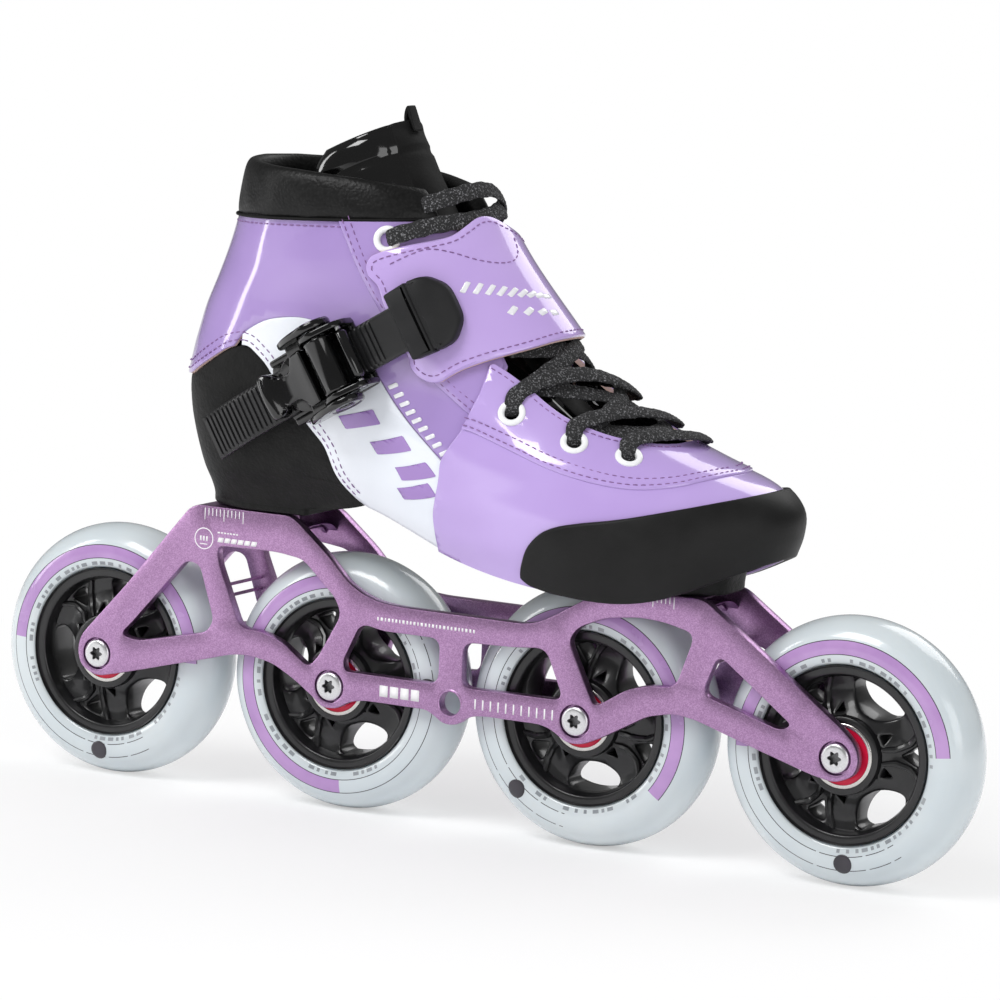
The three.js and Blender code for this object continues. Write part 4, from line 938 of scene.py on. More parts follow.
cup = np.concatenate([shell_top, level(0.398, -0.398, 60, -0.12)[1:-1],
                      mirrored_heel(shell_top)[:-1]])
shell = Parts()
shell.add(*sheet_mesh(cup, -1.25, 2.0, edge=0.7, step=2.6,
                      relief=lambda v, u: 0.06 * np.sin(31 * u) * np.sin(2 * v))[:2])
add_sole(shell)
pedestal = pedestal_plan()
add_skirt(shell, pedestal)
shell.add(*block(pedestal, foot_z=103.05, bevel=1.2, taper=0.2, top_z=lambda x: np.interp(
    x, [-106, -95, -75, -57], [111.5, 112.6, 115.4, 115.5])))
toe_block = resample(smooth_loop([
    (48, -16.5, 5), (48, 17.5, 5), (86, 18.5, 8), (97, 10, 7), (97, -9, 7), (86, -17.5, 8)],
    3, 6), 1.6)
shell.add(*block(toe_block, foot_z=92.1, bevel=1.2, taper=1.2, top_z=lambda x: np.interp(
    x, [45, 80, 100], [97.5, 98.5, 101])))
shell.make("boot_shell_visual", [shell_black], "chassis", node="boot_shell", slot="shell",
           auto=45)


# ---------------------------------------------------------------- leather pieces
def side_panel_outline():
    start = np.argmin(np.hypot((shell_top[:, 0] - 0.300) * 200, (shell_top[:, 1] - 6.62) * 12))
    arc = panel_arc[panel_arc[:, 0] > 0.298]
    diagonal = [(0.528, 6.55), (0.5305, 5.2), (0.532, 4.2), (0.5335, 3.64)]
    front = vamp_rear[vamp_rear[:, 1] < 3.62][::-1] + [0.012, 0]
    return np.concatenate([shell_top[start:][::-1], arc[:-1], diagonal, front,
                           [[0.496, -0.12]]])


def quarter_outline():
    """From the collar seam down to shell and panel, round the heel."""
    low = shell_top[:np.argmin(np.abs(shell_top[:, 0] - 0.287))]
    diagonal = [(0.5295, 6.5), (0.532, 5.2), (0.5335, 4.2), (0.535, 3.45)]
    rear = vamp_rear[vamp_rear[:, 1] > 3.5] + [0.02, 0]
    rear = rear[rear[:, 1] < 6.9]
    front = [(0.775, 7.1), (0.79, 7.9), (0.81, 8.8), (0.835, 9.6), (0.845, COLLAR_SEAM)]
    half = np.concatenate([low, panel_arc, diagonal, rear, front])
    return np.concatenate([half, level(0.80, -0.80, 120, COLLAR_SEAM), mirrored_heel(half)[:-1]])


def stay_outline():
    """The front part of the quarter, a second layer."""
    top = COLLAR_SEAM + 0.02
    low = vamp_rear[(vamp_rear[:, 1] > 5.42) & (vamp_rear[:, 1] < 6.95)] + [0.022, 0]
    front = [(0.768, 7.15), (0.782, 7.9), (0.802, 8.8), (0.828, 9.6), (0.838, top)]
    return np.concatenate([stay_rear, low, front, level(0.83, 0.552, 26, top)])


def eyelet_hole(u, v, off):
    """Outline of an eyelet hole on the chart."""
    centre = np.array([u, v])
    axes = chart_axes(placer(off), centre)
    across = unit(axes[0])
    up = np.cross(unit(np.cross(*axes)), across)
    a = angles(20)[:, None]
    ring = np.cos(a) * across * EYELET_HOLE_R + np.sin(a) * up * EYELET_HOLE_R
    return centre + chart_step(axes, ring)


def vamp_holes(off):
    return [eyelet_hole(u if side == 1 else 2 - u, v, off)
            for side in (1, -1) for u, v in EYELETS[1:]]


def vamp_off(v, u):
    """Height of the vamp; the lacing flaps stand higher."""
    from_toe = np.abs(np.mod(u, 2) - 1)
    return 1.1 + 0.5 * (ease((v - 4.6) / 1.2) * ease((from_toe - 0.14) / 0.05))


def facing_off(v, u):
    return vamp_off(v, u) + 0.75


def tan_throat_edge(obj):
    """The flap on the medial side shows a buff edge in the throat."""
    mesh = obj.data
    mesh.materials.append(tan_edge)
    for face in mesh.polygons:
        x, y, z = face.center
        if face.material_index == 1 and y > (8 + SIDE_SHIFT) * MM and x > 0.0 and z > 0.134:
            face.material_index = len(mesh.materials) - 1


panel = side_panel_outline()
for side, outline in (("lateral", panel), ("medial", mirrored(panel) - [2, 0])):
    sheet(f"side_panel_{side}_visual", outline, 0.05, 1.7, [white, mauve_edge, leather_back],
          edge=0.5, step=2.2, relief=wrinkle, node=f"side_panel_{side}", slot="patent_white")
sheet("quarter_visual", quarter_outline(), 0.0, 1.7, [lilac, tan_edge, leather_back], edge=0.5,
      step=2.4, relief=wrinkle, node="quarter", slot="patent_lilac")
stay = stay_outline()
for side, sign, outline in (("lateral", 1, stay), ("medial", -1, mirrored(stay) - [2, 0])):
    u, v = EYELETS[0]
    sheet(f"eyestay_{side}", outline, 1.0, 1.5, [lilac, mauve_edge, leather_back], edge=0.5,
          step=2.3, relief=wrinkle, holes=[eyelet_hole(sign * u, v, 1.0)], slot="patent_lilac")
# vamp over the toe, and a second layer round the eyelets
vamp_half = np.concatenate([vamp_rear[:-1], throat[:-1]])
vamp_line = np.concatenate([[(0.484, -0.15)], vamp_half, mirrored(vamp_half), [(1.516, -0.15)],
                            level(1.51, 0.49, 110, -0.15)])
vamp = sheet("vamp_visual", vamp_line, vamp_off, 1.7, [vamp_lilac, mauve_edge, leather_back],
             edge=0.5, step=2.2, relief=wrinkle, holes=vamp_holes(1.3), node="vamp",
             slot="patent_lilac", edge_step=1.1)
facing_half = np.concatenate([vamp_rear[vamp_rear[:, 1] > 5.1][:-1], throat[:-1]])
facing_line = np.concatenate([facing_low[::-1], facing_half, mirrored(facing_half),
                              mirrored(facing_low[::-1])[:-1]])
facing = sheet("vamp_facing", facing_line, facing_off, 1.2,
               [vamp_lilac, mauve_edge, leather_back], edge=0.5, step=2.2, relief=wrinkle,
               holes=vamp_holes(1.9), slot="patent_lilac", edge_step=1.1)
tan_throat_edge(vamp)
tan_throat_edge(facing)
bumper_half = np.concatenate([[(0.616, -0.10), (0.599, -0.02), (0.5905, 0.16)],
                              curve(BUMPER_TOP)[1:]])
bumper_line = np.concatenate([bumper_half, mirrored(bumper_half)[1:],
                              level(1.375, 0.625, 70, -0.12)])
sheet("toe_bumper_visual", smooth_loop(bumper_line, 0.002, 2), 2.6, 2.6, [rubber] * 3, edge=1.2,
      step=2.2, rings=(0, 0.1, 0.3, 0.6, 1.0), node="toe_bumper", slot="bumper_rubber")

# ---------------------------------------------------------------- wheels
HALF_BASE = 143.0                  # from the middle to the outer axles
AXLE_X = [k * HALF_BASE / 3 for k in (-3, -1, 1, 3)]
AXLE_Z = 45.0
HUB_PHASE = [70, 51, 36, 64]       # turn of each hub, degrees
BAND_START = [1, 98, -38, 7]       # where each tyre's printed band starts, degrees
TYRE_SEGMENTS = 176
TYRE_SECTION = [                   # radius, half width
    (30.0, 10.3), (30.35, 10.95), (31.0, 11.35), (32.5, 11.75), (34.2, 11.95), (36.2, 11.85),
    (38.4, 11.3), (40.4, 10.25), (42.2, 8.6), (43.6, 6.4), (44.5, 3.8), (44.93, 1.6),
    (45.0, 0.0)]
DASH_IN, DASH_OUT = 31.0, 32.25    # printed rings, by radius
LINE_IN, BAND_IN, BAND_OUT, LINE_OUT = 33.35, 33.62, 38.05, 38.32
BADGE_R, BADGE_CENTRE_R, BADGE_SIDES = 3.3, 35.9, 28


def tyre_profile():
    """Half section with a row at the edge of every printed ring."""
    fine = curve(TYRE_SECTION, 8)
    length = arc_length(fine)
    marks = (DASH_IN, DASH_OUT, LINE_IN, BAND_IN, BAND_OUT, LINE_OUT)
    keys = [0.0] + [float(np.interp(m, fine[:60, 0], length[:60])) for m in marks]
    extra = [k for k in np.linspace(0, length[-1], 26) if min(abs(k - q) for q in keys) > 0.35]
    t = np.array(sorted(keys + extra + [length[-1]]))
    return along(t[np.r_[True, np.diff(t) > 1e-6]], length, fine)


TYRE_HALF = tyre_profile()


def dash_pattern(seed):
    rng = np.random.default_rng(seed)
    dashes = np.zeros(TYRE_SEGMENTS, bool)
    k = 0
    while k < TYRE_SEGMENTS - 4:
        width = int(rng.integers(1, 3))
        dashes[k:k + width] = True
        k += width + int(rng.integers(1, 3)) + (4 if rng.random() < 0.12 else 0)
    return dashes


def tyre_tag(radius, seg, turn, dash):
    """0 bare, 1 band, 2 line, 3 dash; turn: degrees from the start of the band."""
    if LINE_IN < radius < BAND_IN or BAND_OUT < radius < LINE_OUT:
        return 2 if turn < 250 or (seg % 7 and turn <= 300) else 0
    if BAND_IN < radius < BAND_OUT:
        return 1 if turn < 176 else 0
    return 3 if DASH_IN < radius < DASH_OUT and dash and not 205 < turn < 262 else 0


def badge(x_axle, angle, side):
    """Blank round badge lying on the tyre wall."""
    cx, cz = BADGE_CENTRE_R * math.cos(angle), BADGE_CENTRE_R * math.sin(angle)
    flat, n = [[cx, cz]], BADGE_SIDES
    for f in (0.25, 0.5, 0.75, 0.96, 1.0):
        for k in range(n):
            t = 2 * pi * k / n
            flat.append([cx + BADGE_R * f * math.cos(t), cz + BADGE_R * f * math.sin(t)])
    flat = np.array(flat)
    y = np.interp(np.hypot(flat[:, 0], flat[:, 1]), TYRE_HALF[:, 0], TYRE_HALF[:, 1]) + 0.09
    y[1 + n * 4:] -= 0.13
    faces = []
    for k in range(n):
        k1 = (k + 1) % n
        faces.append([0, 1 + k, 1 + k1])
        for q in range(4):
            near, far = 1 + n * q, 1 + n * (q + 1)
            faces.append([near + k, far + k, far + k1, near + k1])
    mesh = np.stack([x_axle + flat[:, 0], side * y, AXLE_Z + flat[:, 1]], -1), faces
    return flipped(mesh) if side > 0 else mesh


def make_tyre(i):
    profile = np.concatenate([TYRE_HALF * [1, -1], TYRE_HALF[::-1][1:],
                              [[29.9, 9.4], [29.9, -9.4]]])
    dashes = dash_pattern(11 + i)
    n = len(profile)
    tags = []
    for row in range(n):
        radius = (profile[row][0] + profile[(row + 1) % n][0]) / 2
        for seg in range(TYRE_SEGMENTS):
            turn = ((seg + 0.5) * 360 / TYRE_SEGMENTS - BAND_START[i]) % 360
            tags.append(tyre_tag(radius, seg, turn, dashes[seg]) if row < n - 3 else 0)
    parts = Parts()
    parts.add(*lathe(profile, TYRE_SEGMENTS, (AXLE_X[i], 0, AXLE_Z)), tags)
    for side in (-1, 1):
        parts.add(*badge(AXLE_X[i], math.radians(BAND_START[i] - 93), side), 2)
    parts.make(f"tyre_{i+1}_visual", [tyre_milky, band_lilac, line_dark, dash_grey],
               f"wheel_{i+1}", node=f"tyre_{i+1}", slot="tyre")


# Hub shapes. Cutouts are (distance from the axle, sideways, corner radius).
LARGE_CUTOUT = [
    (15.0, 3.2, 3), (17.6, 7.4, 4), (21.6, 10.4, 4), (24.9, 8.0, 3.2), (26.0, 0, 6),
    (24.9, -8.0, 3.2), (21.6, -10.4, 4), (17.6, -7.4, 4), (15.0, -3.2, 3)]
FORK_CUTOUT = [(18.4, 0), (24.4, -3.6), (25.2, 0), (24.4, 3.6)]
HUB_RIM = [                        # radius, y
    (26.6, -10.0), (27.2, -10.45), (29.2, -10.6), (29.85, -10.2), (29.85, 10.2), (29.2, 10.6),
    (27.2, 10.45), (26.6, 10.0), (26.15, 8.6), (25.6, 6.4), (25.3, 0.0), (25.6, -6.4),
    (26.15, -8.6)]
HUB_BOSS = [
    (11.02, -12.0), (12.3, -12.05), (12.95, -11.7), (13.2, -10.8), (13.45, -6), (13.6, 0),
    (13.45, 6), (13.2, 10.8), (12.95, 11.7), (12.3, 12.05), (11.02, 12.0), (11.02, 4.75),
    (8.6, 4.7), (8.6, -4.7), (11.02, -4.75)]
SPOKE_R = [12.4, 14, 17, 21, 24, 26.4]


def turned(points, angle):
    c, s = math.cos(angle), math.sin(angle)
    return [(r * c - t * s, r * s + t * c, *radius) for r, t, *radius in points]


def hub_cutouts(phase):
    loops = []
    for k in range(3):
        large = math.radians(phase + 120 * k)
        spoke = large + pi / 3
        loops.append(smooth_loop(turned(LARGE_CUTOUT, large), 3, 4))
        for side in (-1, 1):       # small triangles beside the boss
            triangle = [(14.1, -1.7), (14.1, 1.7), (17.0, 0.5 * side)]
            angle = spoke + side * math.radians(22.5)
            loops.append(smooth_loop(turned(triangle, angle), .5, 2))
        loops.append(smooth_loop(turned(FORK_CUTOUT, spoke), .9, 3))
    return loops


def add_spoke_rib(parts, x_axle, spoke, arm, side):
    """Raised rib along one arm of a Y-shaped spoke."""
    path = []
    for t in np.linspace(0, 1, 11):
        r = 13.2 + 12.9 * t
        spread = np.interp(t, [0, 0.3, 0.7, 1], [10, 7.5, 11, 17.5])
        angle = spoke + arm * math.radians(spread)
        y = np.interp(r, SPOKE_R, [9.6, 8.6, 6.4, 5.0, 5.2, 6.4]) + 0.25
        path.append([x_axle + r * math.cos(angle), side * y, AXLE_Z + r * math.sin(angle)])
    radius = np.interp(np.linspace(0, 1, 11), [0, .15, .85, 1], [0.7, 1.05, 1.15, 0.8])
    parts.add(*tube(path, radius, up=(0, 1, 0)))


def make_hub(i):
    phase, centre = HUB_PHASE[i], (AXLE_X[i], 0, AXLE_Z)
    parts = Parts()
    parts.add(*lathe(curve(HUB_RIM + HUB_RIM[:1], 4)[:-1], 120, centre))
    parts.add(*lathe(HUB_BOSS, 72, centre))

    def face_y(x, z, side):
        r = np.hypot(x, z)
        off_spoke = np.abs(((np.degrees(np.arctan2(z, x)) - phase) % 120) - 60)
        y = np.interp(r, SPOKE_R, [9.6, 8.6, 6.4, 5.0, 5.2, 6.2])
        y = y - np.exp(-(off_spoke / 7.0) ** 2) * np.interp(r, [13, 16, 19], [0, 2.0, 0])
        return y * (1 if side else -1)

    loops = [circle(0, 0, 26.4, 96), circle(0, 0, 12.4, 60)] + hub_cutouts(phase)
    verts, faces = plate(loops, face_y, bevel=0.9, n=3, step=2.6)
    parts.add(verts + np.array(centre), faces)
    for k in range(3):
        for arm in (-1, 1):
            for side in (-1, 1):
                spoke = math.radians(phase + 60 + 120 * k)
                add_spoke_rib(parts, AXLE_X[i], spoke, arm, side)
    parts.make(f"hub_{i+1}_visual", [hub_black], f"wheel_{i+1}", node=f"hub_{i+1}", slot="hub",
               auto=38)


def make_bearing(i, side, sign, outer=12.1, inner=5.1):
    """outer, inner: distance of the two bearing faces from the wheel's middle."""
    centre = (AXLE_X[i], 0, AXLE_Z)
    profile = [                    # radius, y, material: 0 race, 1 shield
        (11.0, inner + .3, 0), (11.0, outer - .35, 0), (10.8, outer - .1, 0), (10.4, outer, 0),
        (9.75, outer, 0), (9.6, outer - .25, 1), (9.45, outer - .3, 1), (8.9, outer - .42, 1),
        (7.2, outer - .42, 1), (6.85, outer - .55, 1), (6.8, outer - 1.0, 1),
        (9.3, outer - 1.0, 0), (9.3, inner + 1, 0), (6.85, inner + 1, 1), (6.85, inner + .5, 1),
        (9.6, inner + .3, 0), (10.4, inner, 0), (10.8, inner + .1, 0)]
    mesh = lathe([(r, y * sign) for r, y, _ in profile], 64, centre)
    if sign > 0:
        mesh = flipped(mesh)
    tags = np.repeat([tag for _, _, tag in profile], 64)
    name = f"bearing_outer_{i+1}_{side}"
    Parts().add(*mesh, tags).make(name + "_visual", [race_steel, shield_red], f"wheel_{i+1}",
                                  node=name, slot="bearing_shield", auto=40, recalc=True)
    profile = [(4.0, inner), (4.15, outer - .15), (4.3, outer), (5.75, outer),
               (5.95, outer - .2), (6.0, inner + .2), (5.8, inner)]
    name = f"bearing_inner_{i+1}_{side}"
    piece(name + "_visual", *lathe([(r, y * sign) for r, y in profile], 48, centre), race_steel,
          "chassis", node=name, slot="bearing_steel", auto=40, recalc=True)


def make_axle(i):
    """Domed head with a six-lobed socket on the lateral side, threaded end on the medial."""
    seg = 72
    lobe = 1.95 + 0.42 * np.cos(6 * angles(seg))
    rows = [(0.05, -15.6), (lobe * 0.6, -15.55), (lobe * 0.97, -15.6), (lobe, -15.8),
            (lobe, -17.35), (lobe + 0.18, -17.62), (3.4, -17.66), (4.1, -17.58),
            (4.65, -17.35), (4.95, -17.0), (5.0, -16.7), (5.0, -15.3), (4.9, -15.1),
            (3.9, -15.05), (3.8, -14.8)]
    rows += [(3.8, y) for y in np.arange(-14.6, 9.0, 3.0)]
    for k in range(14):
        rows += [(3.8, 9.3 + k * .5), (3.58, 9.55 + k * .5)]
    rows += [(3.5, 16.4), (3.1, 16.7), (0.05, 16.7)]
    verts, faces = bolt_mesh(rows, seg, (AXLE_X[i], 0, AXLE_Z))
    # the socket's floor and walls (first four rows and the end cap) take the darker steel:
    # painted shade in the recess
    tags = [1 if k // seg < 4 else 0 for k in range(len(faces) - 2)] + [1, 0]
    Parts().add(verts, faces, tags).make(
        f"axle_{i+1}_visual", [bolt_steel, painted_shade_steel], "chassis", node=f"axle_{i+1}",
        slot="bolt_steel", auto=40, recalc=True)


SPACER = [(4.0, -4.7), (5.7, -4.75), (5.95, -4.5), (5.95, -1.2), (5.3, -0.6), (5.3, 0.6),
          (5.95, 1.2), (5.95, 4.5), (5.7, 4.75), (4.0, 4.7)]
for i in range(4):
    make_tyre(i)
    make_hub(i)
    make_bearing(i, "lateral", -1)
    make_bearing(i, "medial", 1)
    piece(f"spacer_{i+1}_visual", *lathe(SPACER, 40, (AXLE_X[i], 0, AXLE_Z)), race_steel,
          "chassis", node=f"spacer_{i+1}", slot="bearing_steel", auto=40, recalc=True)
    make_axle(i)

# ---------------------------------------------------------------- frame
FRAME_OUTLINE = [                  # x, z
    [-151.3, 45.5], [-149.9, 51.1], [-131.7, 71.1], [-115, 91.1], [-106.6, 101], [-103, 102.7],
    [-66.1, 102.6], [-62.8, 100.9], [-49.4, 90], [-41.7, 82.2], [-36.1, 78.9], [-29.4, 76.7],
    [-20.6, 75.9], [26.7, 75.8], [33, 77.2], [40, 81], [50, 87], [56.7, 90.2], [64, 91.8],
    [93, 91.8], [110, 79.9], [128.9, 66.4], [145.9, 54.2], [150.3, 49.8], [151.6, 44.5],
    [149.7, 39.6], [143.3, 36.8], [134.4, 38.5], [112.2, 45], [92.2, 51.1], [84.4, 52.2],
    [74.4, 50], [67.8, 46.1], [56.7, 40], [50.5, 37.3], [44.8, 37.2], [38.9, 41], [34.4, 42.2],
    [12.2, 42.2], [6.7, 41.1], [3, 37.8], [-2.4, 37.6], [-6, 40], [-9.4, 41.7], [-33.9, 41.7],
    [-39.4, 40.6], [-44.6, 37.3], [-50.6, 37.4], [-53.9, 40.4], [-61.7, 45.6], [-70.6, 50.2],
    [-80, 51.9], [-87.2, 51.4], [-98.3, 48.3], [-115, 43.9], [-131.7, 39.4], [-143, 36.8],
    [-149.6, 39.8]]
WINDOWS = [                        # x, z, corner radius where it is not 3
    [[-95.2, 62.5, 4], [-98, 58], [-126.1, 51.7], [-133.5, 53, 3], [-128.3, 58.3],
     [-107, 82.5], [-101.5, 81.5, 4]],
    [[-94.6, 89, 4], [-70.6, 89.4], [-60, 88], [-46.5, 76], [-44, 70.5, 4], [-52.8, 54.4],
     [-56.5, 50.8, 3], [-67.2, 58.3], [-76, 61.1], [-84.2, 61, 4], [-93.9, 83.3]],
    [[-41.5, 51.1, 3], [-42.5, 54.4], [-36, 68.5, 4], [-27.2, 66.7], [-5, 66.8, 4],
     [-5, 51.1, 4]],
    [[4.2, 66.6, 4], [23.3, 67.2], [35.6, 68.4, 4], [43, 51.6, 4], [4.2, 51.1, 4]],
    [[44, 72, 3], [47.5, 77], [58, 81.4], [70, 82.9], [79, 82.4], [90.6, 79.8, 4],
     [84.3, 61, 4], [74.4, 60.6], [66.7, 58.3], [54.6, 50.6, 3]],
    [[94.2, 60.1, 4], [99.5, 74, 4], [127, 53.8, 3], [123, 51.8]]]
WALL_OUT, WALL_IN = 17.2, 13.2     # distance of the side walls' faces from the middle
BRIDGE_HALF = 13.7                 # half width of the parts between the walls


def add_wall(parts, side):
    faces_y = (-WALL_OUT, -WALL_IN) if side < 0 else (WALL_IN, WALL_OUT)
    loops = [smooth_loop(FRAME_OUTLINE, 3, 5)] + [smooth_loop(w, 3.0, 5) for w in WINDOWS]
    loops += [circle(x, AXLE_Z, 5.6 if side < 0 else 4.2, 40) for x in AXLE_X]
    loops.append(circle(0, AXLE_Z, 4.05, 40))
    parts.add(*plate(loops, faces_y, bevel=0.55, n=2))
    if side < 0:                   # counterbore and collar of each axle hole
        collars = [[(4.25, -14.8), (5.62, -14.8), (5.62, -12.45), (5.2, -12.42),
                    (4.25, -12.42)],
                   [(5.55, -14.9), (6.5, -13.4), (5.9, -12.5), (5.5, -12.45)]]
    else:
        collars = [[(4.22, 13.4), (4.22, 12.45), (5.5, 12.45), (5.9, 12.6), (6.4, 13.4)]]
    for x in AXLE_X:
        for collar in collars:
            parts.add(*lathe(collar, 40, (x, 0, AXLE_Z)))
    # raised ring round the middle hole
    y = side * WALL_OUT
    ring = lathe([(4.1, y - side * 3.9), (4.1, y), (4.25, y + side * 0.18),
                  (4.75, y + side * 0.18), (5.0, y), (5.0, y - side * 1)], 48, (0, 0, AXLE_Z))
    parts.add(*(ring if side < 0 else flipped(ring)))


def section_along_x(points, x0, x1, bevel):
    """A (y, z) section drawn out from x0 to x1."""
    verts, faces = flipped(plate([smooth_loop(points, 1.2, 4)], (x0, x1), bevel, n=2))
    return np.stack([verts[:, 1], verts[:, 0], verts[:, 2]], -1), faces


def add_bridge(parts, x0, x1, under, top, ribs):
    half = BRIDGE_HALF
    parts.add(*section_along_x([
        (-half, top, .1), (half, top, .1), (half, under - 3.2, .1), (10, under - .6, 4),
        (5, under + .6, 3), (-5, under + .6, 3), (-10, under - .6, 4), (-half, under - 3.2, .1)],
        x0, x1, 0.4))
    rib = [(-half, under - 1.2, .1), (half, under - 1.2, .1), (half, under - 4.4, .5),
           (8, under - .9, 3), (-8, under - .9, 3), (-half, under - 4.4, .5)]
    for x in np.linspace(x0 + 5, x1 - 5, ribs):
        parts.add(*section_along_x(rib, x - 0.9, x + 0.9, 0.25))


def printed_block(parts, x, z, width, height, skew=0.0):
    """A thin raised block on the lateral wall."""
    corners = [(0, 0), (width, 0), (width + skew, height), (skew, height)]
    verts = [[x + a, -WALL_OUT + out, z + b] for out in (0.02, -0.05) for a, b in corners]
    parts.add(verts, [[4, 5, 6, 7], [0, 1, 5, 4], [1, 2, 6, 5], [2, 3, 7, 6], [3, 0, 4, 7]])


def printed_row(parts, x, z, widths, height, gap, skew=0.0):
    for width in widths:
        printed_block(parts, x, z, width, height, skew)
        x += width + gap


def printed_ruler(parts, x, top, long, short):
    for k in range(11):
        height = long if k in (0, 5, 10) else short
        printed_block(parts, x + k * 1.55, top - height, 0.32, height)


frame = Parts()
for side in (-1, 1):
    add_wall(frame, side)
add_bridge(frame, -103, -64, under=97.0, top=102.62, ribs=5)
add_bridge(frame, 66, 92, under=87.4, top=91.75, ribs=4)
for x in (-95.333, 95.333):        # cross bars
    frame.add(*section_along_x([
        (-BRIDGE_HALF, 69.75, .1), (BRIDGE_HALF, 69.75, .1), (BRIDGE_HALF, 74.25, .1),
        (-BRIDGE_HALF, 74.25, .1)], x - 1.6, x + 1.6, 0.35))
prints = Parts()
printed_ruler(prints, -100, 101.9, 4.2, 2.6)
printed_ruler(prints, 66.9, 91.2, 4.0, 2.5)
prints.add(*lathe([(3.45, -17.15), (3.5, -17.26), (3.8, -17.26), (3.85, -17.15)], 40,
                  (-100, 0, 91), closed=False))
for k in range(3):
    printed_block(prints, -101.6 + k * 1.25, 90.2, 0.65, 1.7)
printed_block(prints, -101.5, 88.9, 3.0, 0.35)
printed_row(prints, -94.5, 93.4, [1.0, .7, .9, .6, .8, .9, .7], 0.55, gap=0.45)
printed_row(prints, -94.5, 90.3, [2.2] * 6, 1.7, gap=0.5, skew=0.5)
printed_row(prints, -29.5, 70.3, [
    .6, .9, .5, .8, .6, .7, .5, .9, .6, .6, .8, .5, .9, .7, .6, .8, .5, .7, .9, .6, .7, .8, .5,
    .6, .9, .7, .6], 1.2, gap=0.75)
printed_row(prints, -27.5, 44.1, [3.2] * 4, 3.9, gap=0.9)
printed_row(prints, 9.5, 44.3, [.55] * 11, 3.5, gap=2.4)
frame.make("frame_visual", [frame_lilac], "chassis", node="frame", slot="anodised_frame",
           auto=32)
prints.make("frame_print", [frame_print], "chassis")


# ---------------------------------------------------------------- mounting hardware
def turned_steel(name, mesh, mat):
    piece(name + "_visual", *mesh, mat, "chassis", node=name, slot="bolt_steel", auto=35,
          recalc=True)


def mount_bolt(x, seat, tip, seg=60):
    """Bolt with a hexagon socket in its lower end; seat: z of the bridge's underside."""
    hexagon = 2.25 / np.cos((angles(seg) % (pi / 3)) - pi / 6)
    rows = [(0.05, seat - 2.8), (hexagon * .98, seat - 2.75), (hexagon, seat - 2.9),
            (hexagon, seat - 4.6), (hexagon + .2, seat - 4.8), (4.2, seat - 4.8),
            (4.75, seat - 4.45), (4.9, seat - 4.0), (4.9, seat - 2.0), (4.7, seat - 1.8),
            (2.8, seat - 1.75)]
    z = seat - 1.2
    while z < tip - .6:
        rows += [(2.8, z), (2.6, z + .35)]
        z += .7
    rows += [(2.4, tip), (0.05, tip)]
    return bolt_mesh(rows, seg, (x, 0, 0), "z")


for end, x, seat, low, high, tip in (("rear", -85, 97.6, 103.6, 110.8, 112.6),
                                     ("front", 80, 88.0, 92.6, 96.5, 96.4)):
    turned_steel(f"mount_washer_{end}", lathe([
        (3.3, seat - 1.4), (3.4, seat - 1.5), (6.2, seat - 1.5), (6.4, seat - 1.3),
        (6.4, seat - .5), (6.2, seat - .3), (3.4, seat - .3), (3.3, seat - .4)],
        40, (x, 0, 0), "z"), bolt_steel)
    turned_steel(f"mount_bolt_{end}", mount_bolt(x, seat, tip), bolt_steel)
    middle = (low + high) / 2
    turned_steel(f"mount_insert_{end}", lathe([
        (3.2, low), (4.9, low), (5.1, low + .2), (4.9, middle - .3), (4.9, middle + .3),
        (5.1, high - .2), (4.9, high), (3.2, high)], 36, (x, 0, 0), "z"), race_steel)

# ---------------------------------------------------------------- ankle strap
STRAP = [                          # u, v
    (.60, 8.62), (.586, 8.85), (.588, 9.05), (.604, 9.26), (.64, 9.40), (.70, 9.52),
    (.756, 9.60), (.80, 9.68), (.85, 9.86), (.90, 10.02), (.95, 10.02), (1.0, 9.86),
    (1.08, 9.62), (1.15, 9.5), (1.3, 9.15), (1.42, 8.7), (1.5, 8.2), (1.505, 7.4), (1.5, 6.7),
    (1.4, 6.9), (1.2, 7.4), (1.06, 7.62), (.936, 7.62), (.84, 7.46), (.755, 7.22), (.693, 6.94),
    (.655, 6.68), (.635, 6.52), (.615, 6.47), (.602, 6.58), (.598, 6.8), (.604, 7.1),
    (.60, 7.6), (.598, 8.2)]
strap_line = spline(np.array(STRAP + STRAP[:3]),
                    np.linspace(1, len(STRAP) + 1, len(STRAP) * 6 + 1))[:-1]


def strap_off(v, u):
    return np.interp(u, [.56, .60, .66, .72, .80, .9, 1.0, 1.15, 1.3, 1.42, 1.5],
                     [2.2, 2.7, 3.5, 4.0, 4.4, 4.5, 4.4, 4.3, 3.9, 3.2, 2.4])


def strap_relief(v, u):
    return (0.35 * np.sin(7 * u + 0.9 * v) * np.sin(1.3 * v + 3 * u)
            + 0.10 * np.sin(19 * u + 2 * v))


sheet("ankle_strap_visual", strap_line, strap_off, 2.0, [strap_lilac, tan_edge, tan_edge], None,
      edge=0.7, step=2.0, relief=strap_relief, node="ankle_strap", slot="patent_lilac",
      edge_step=1.1)


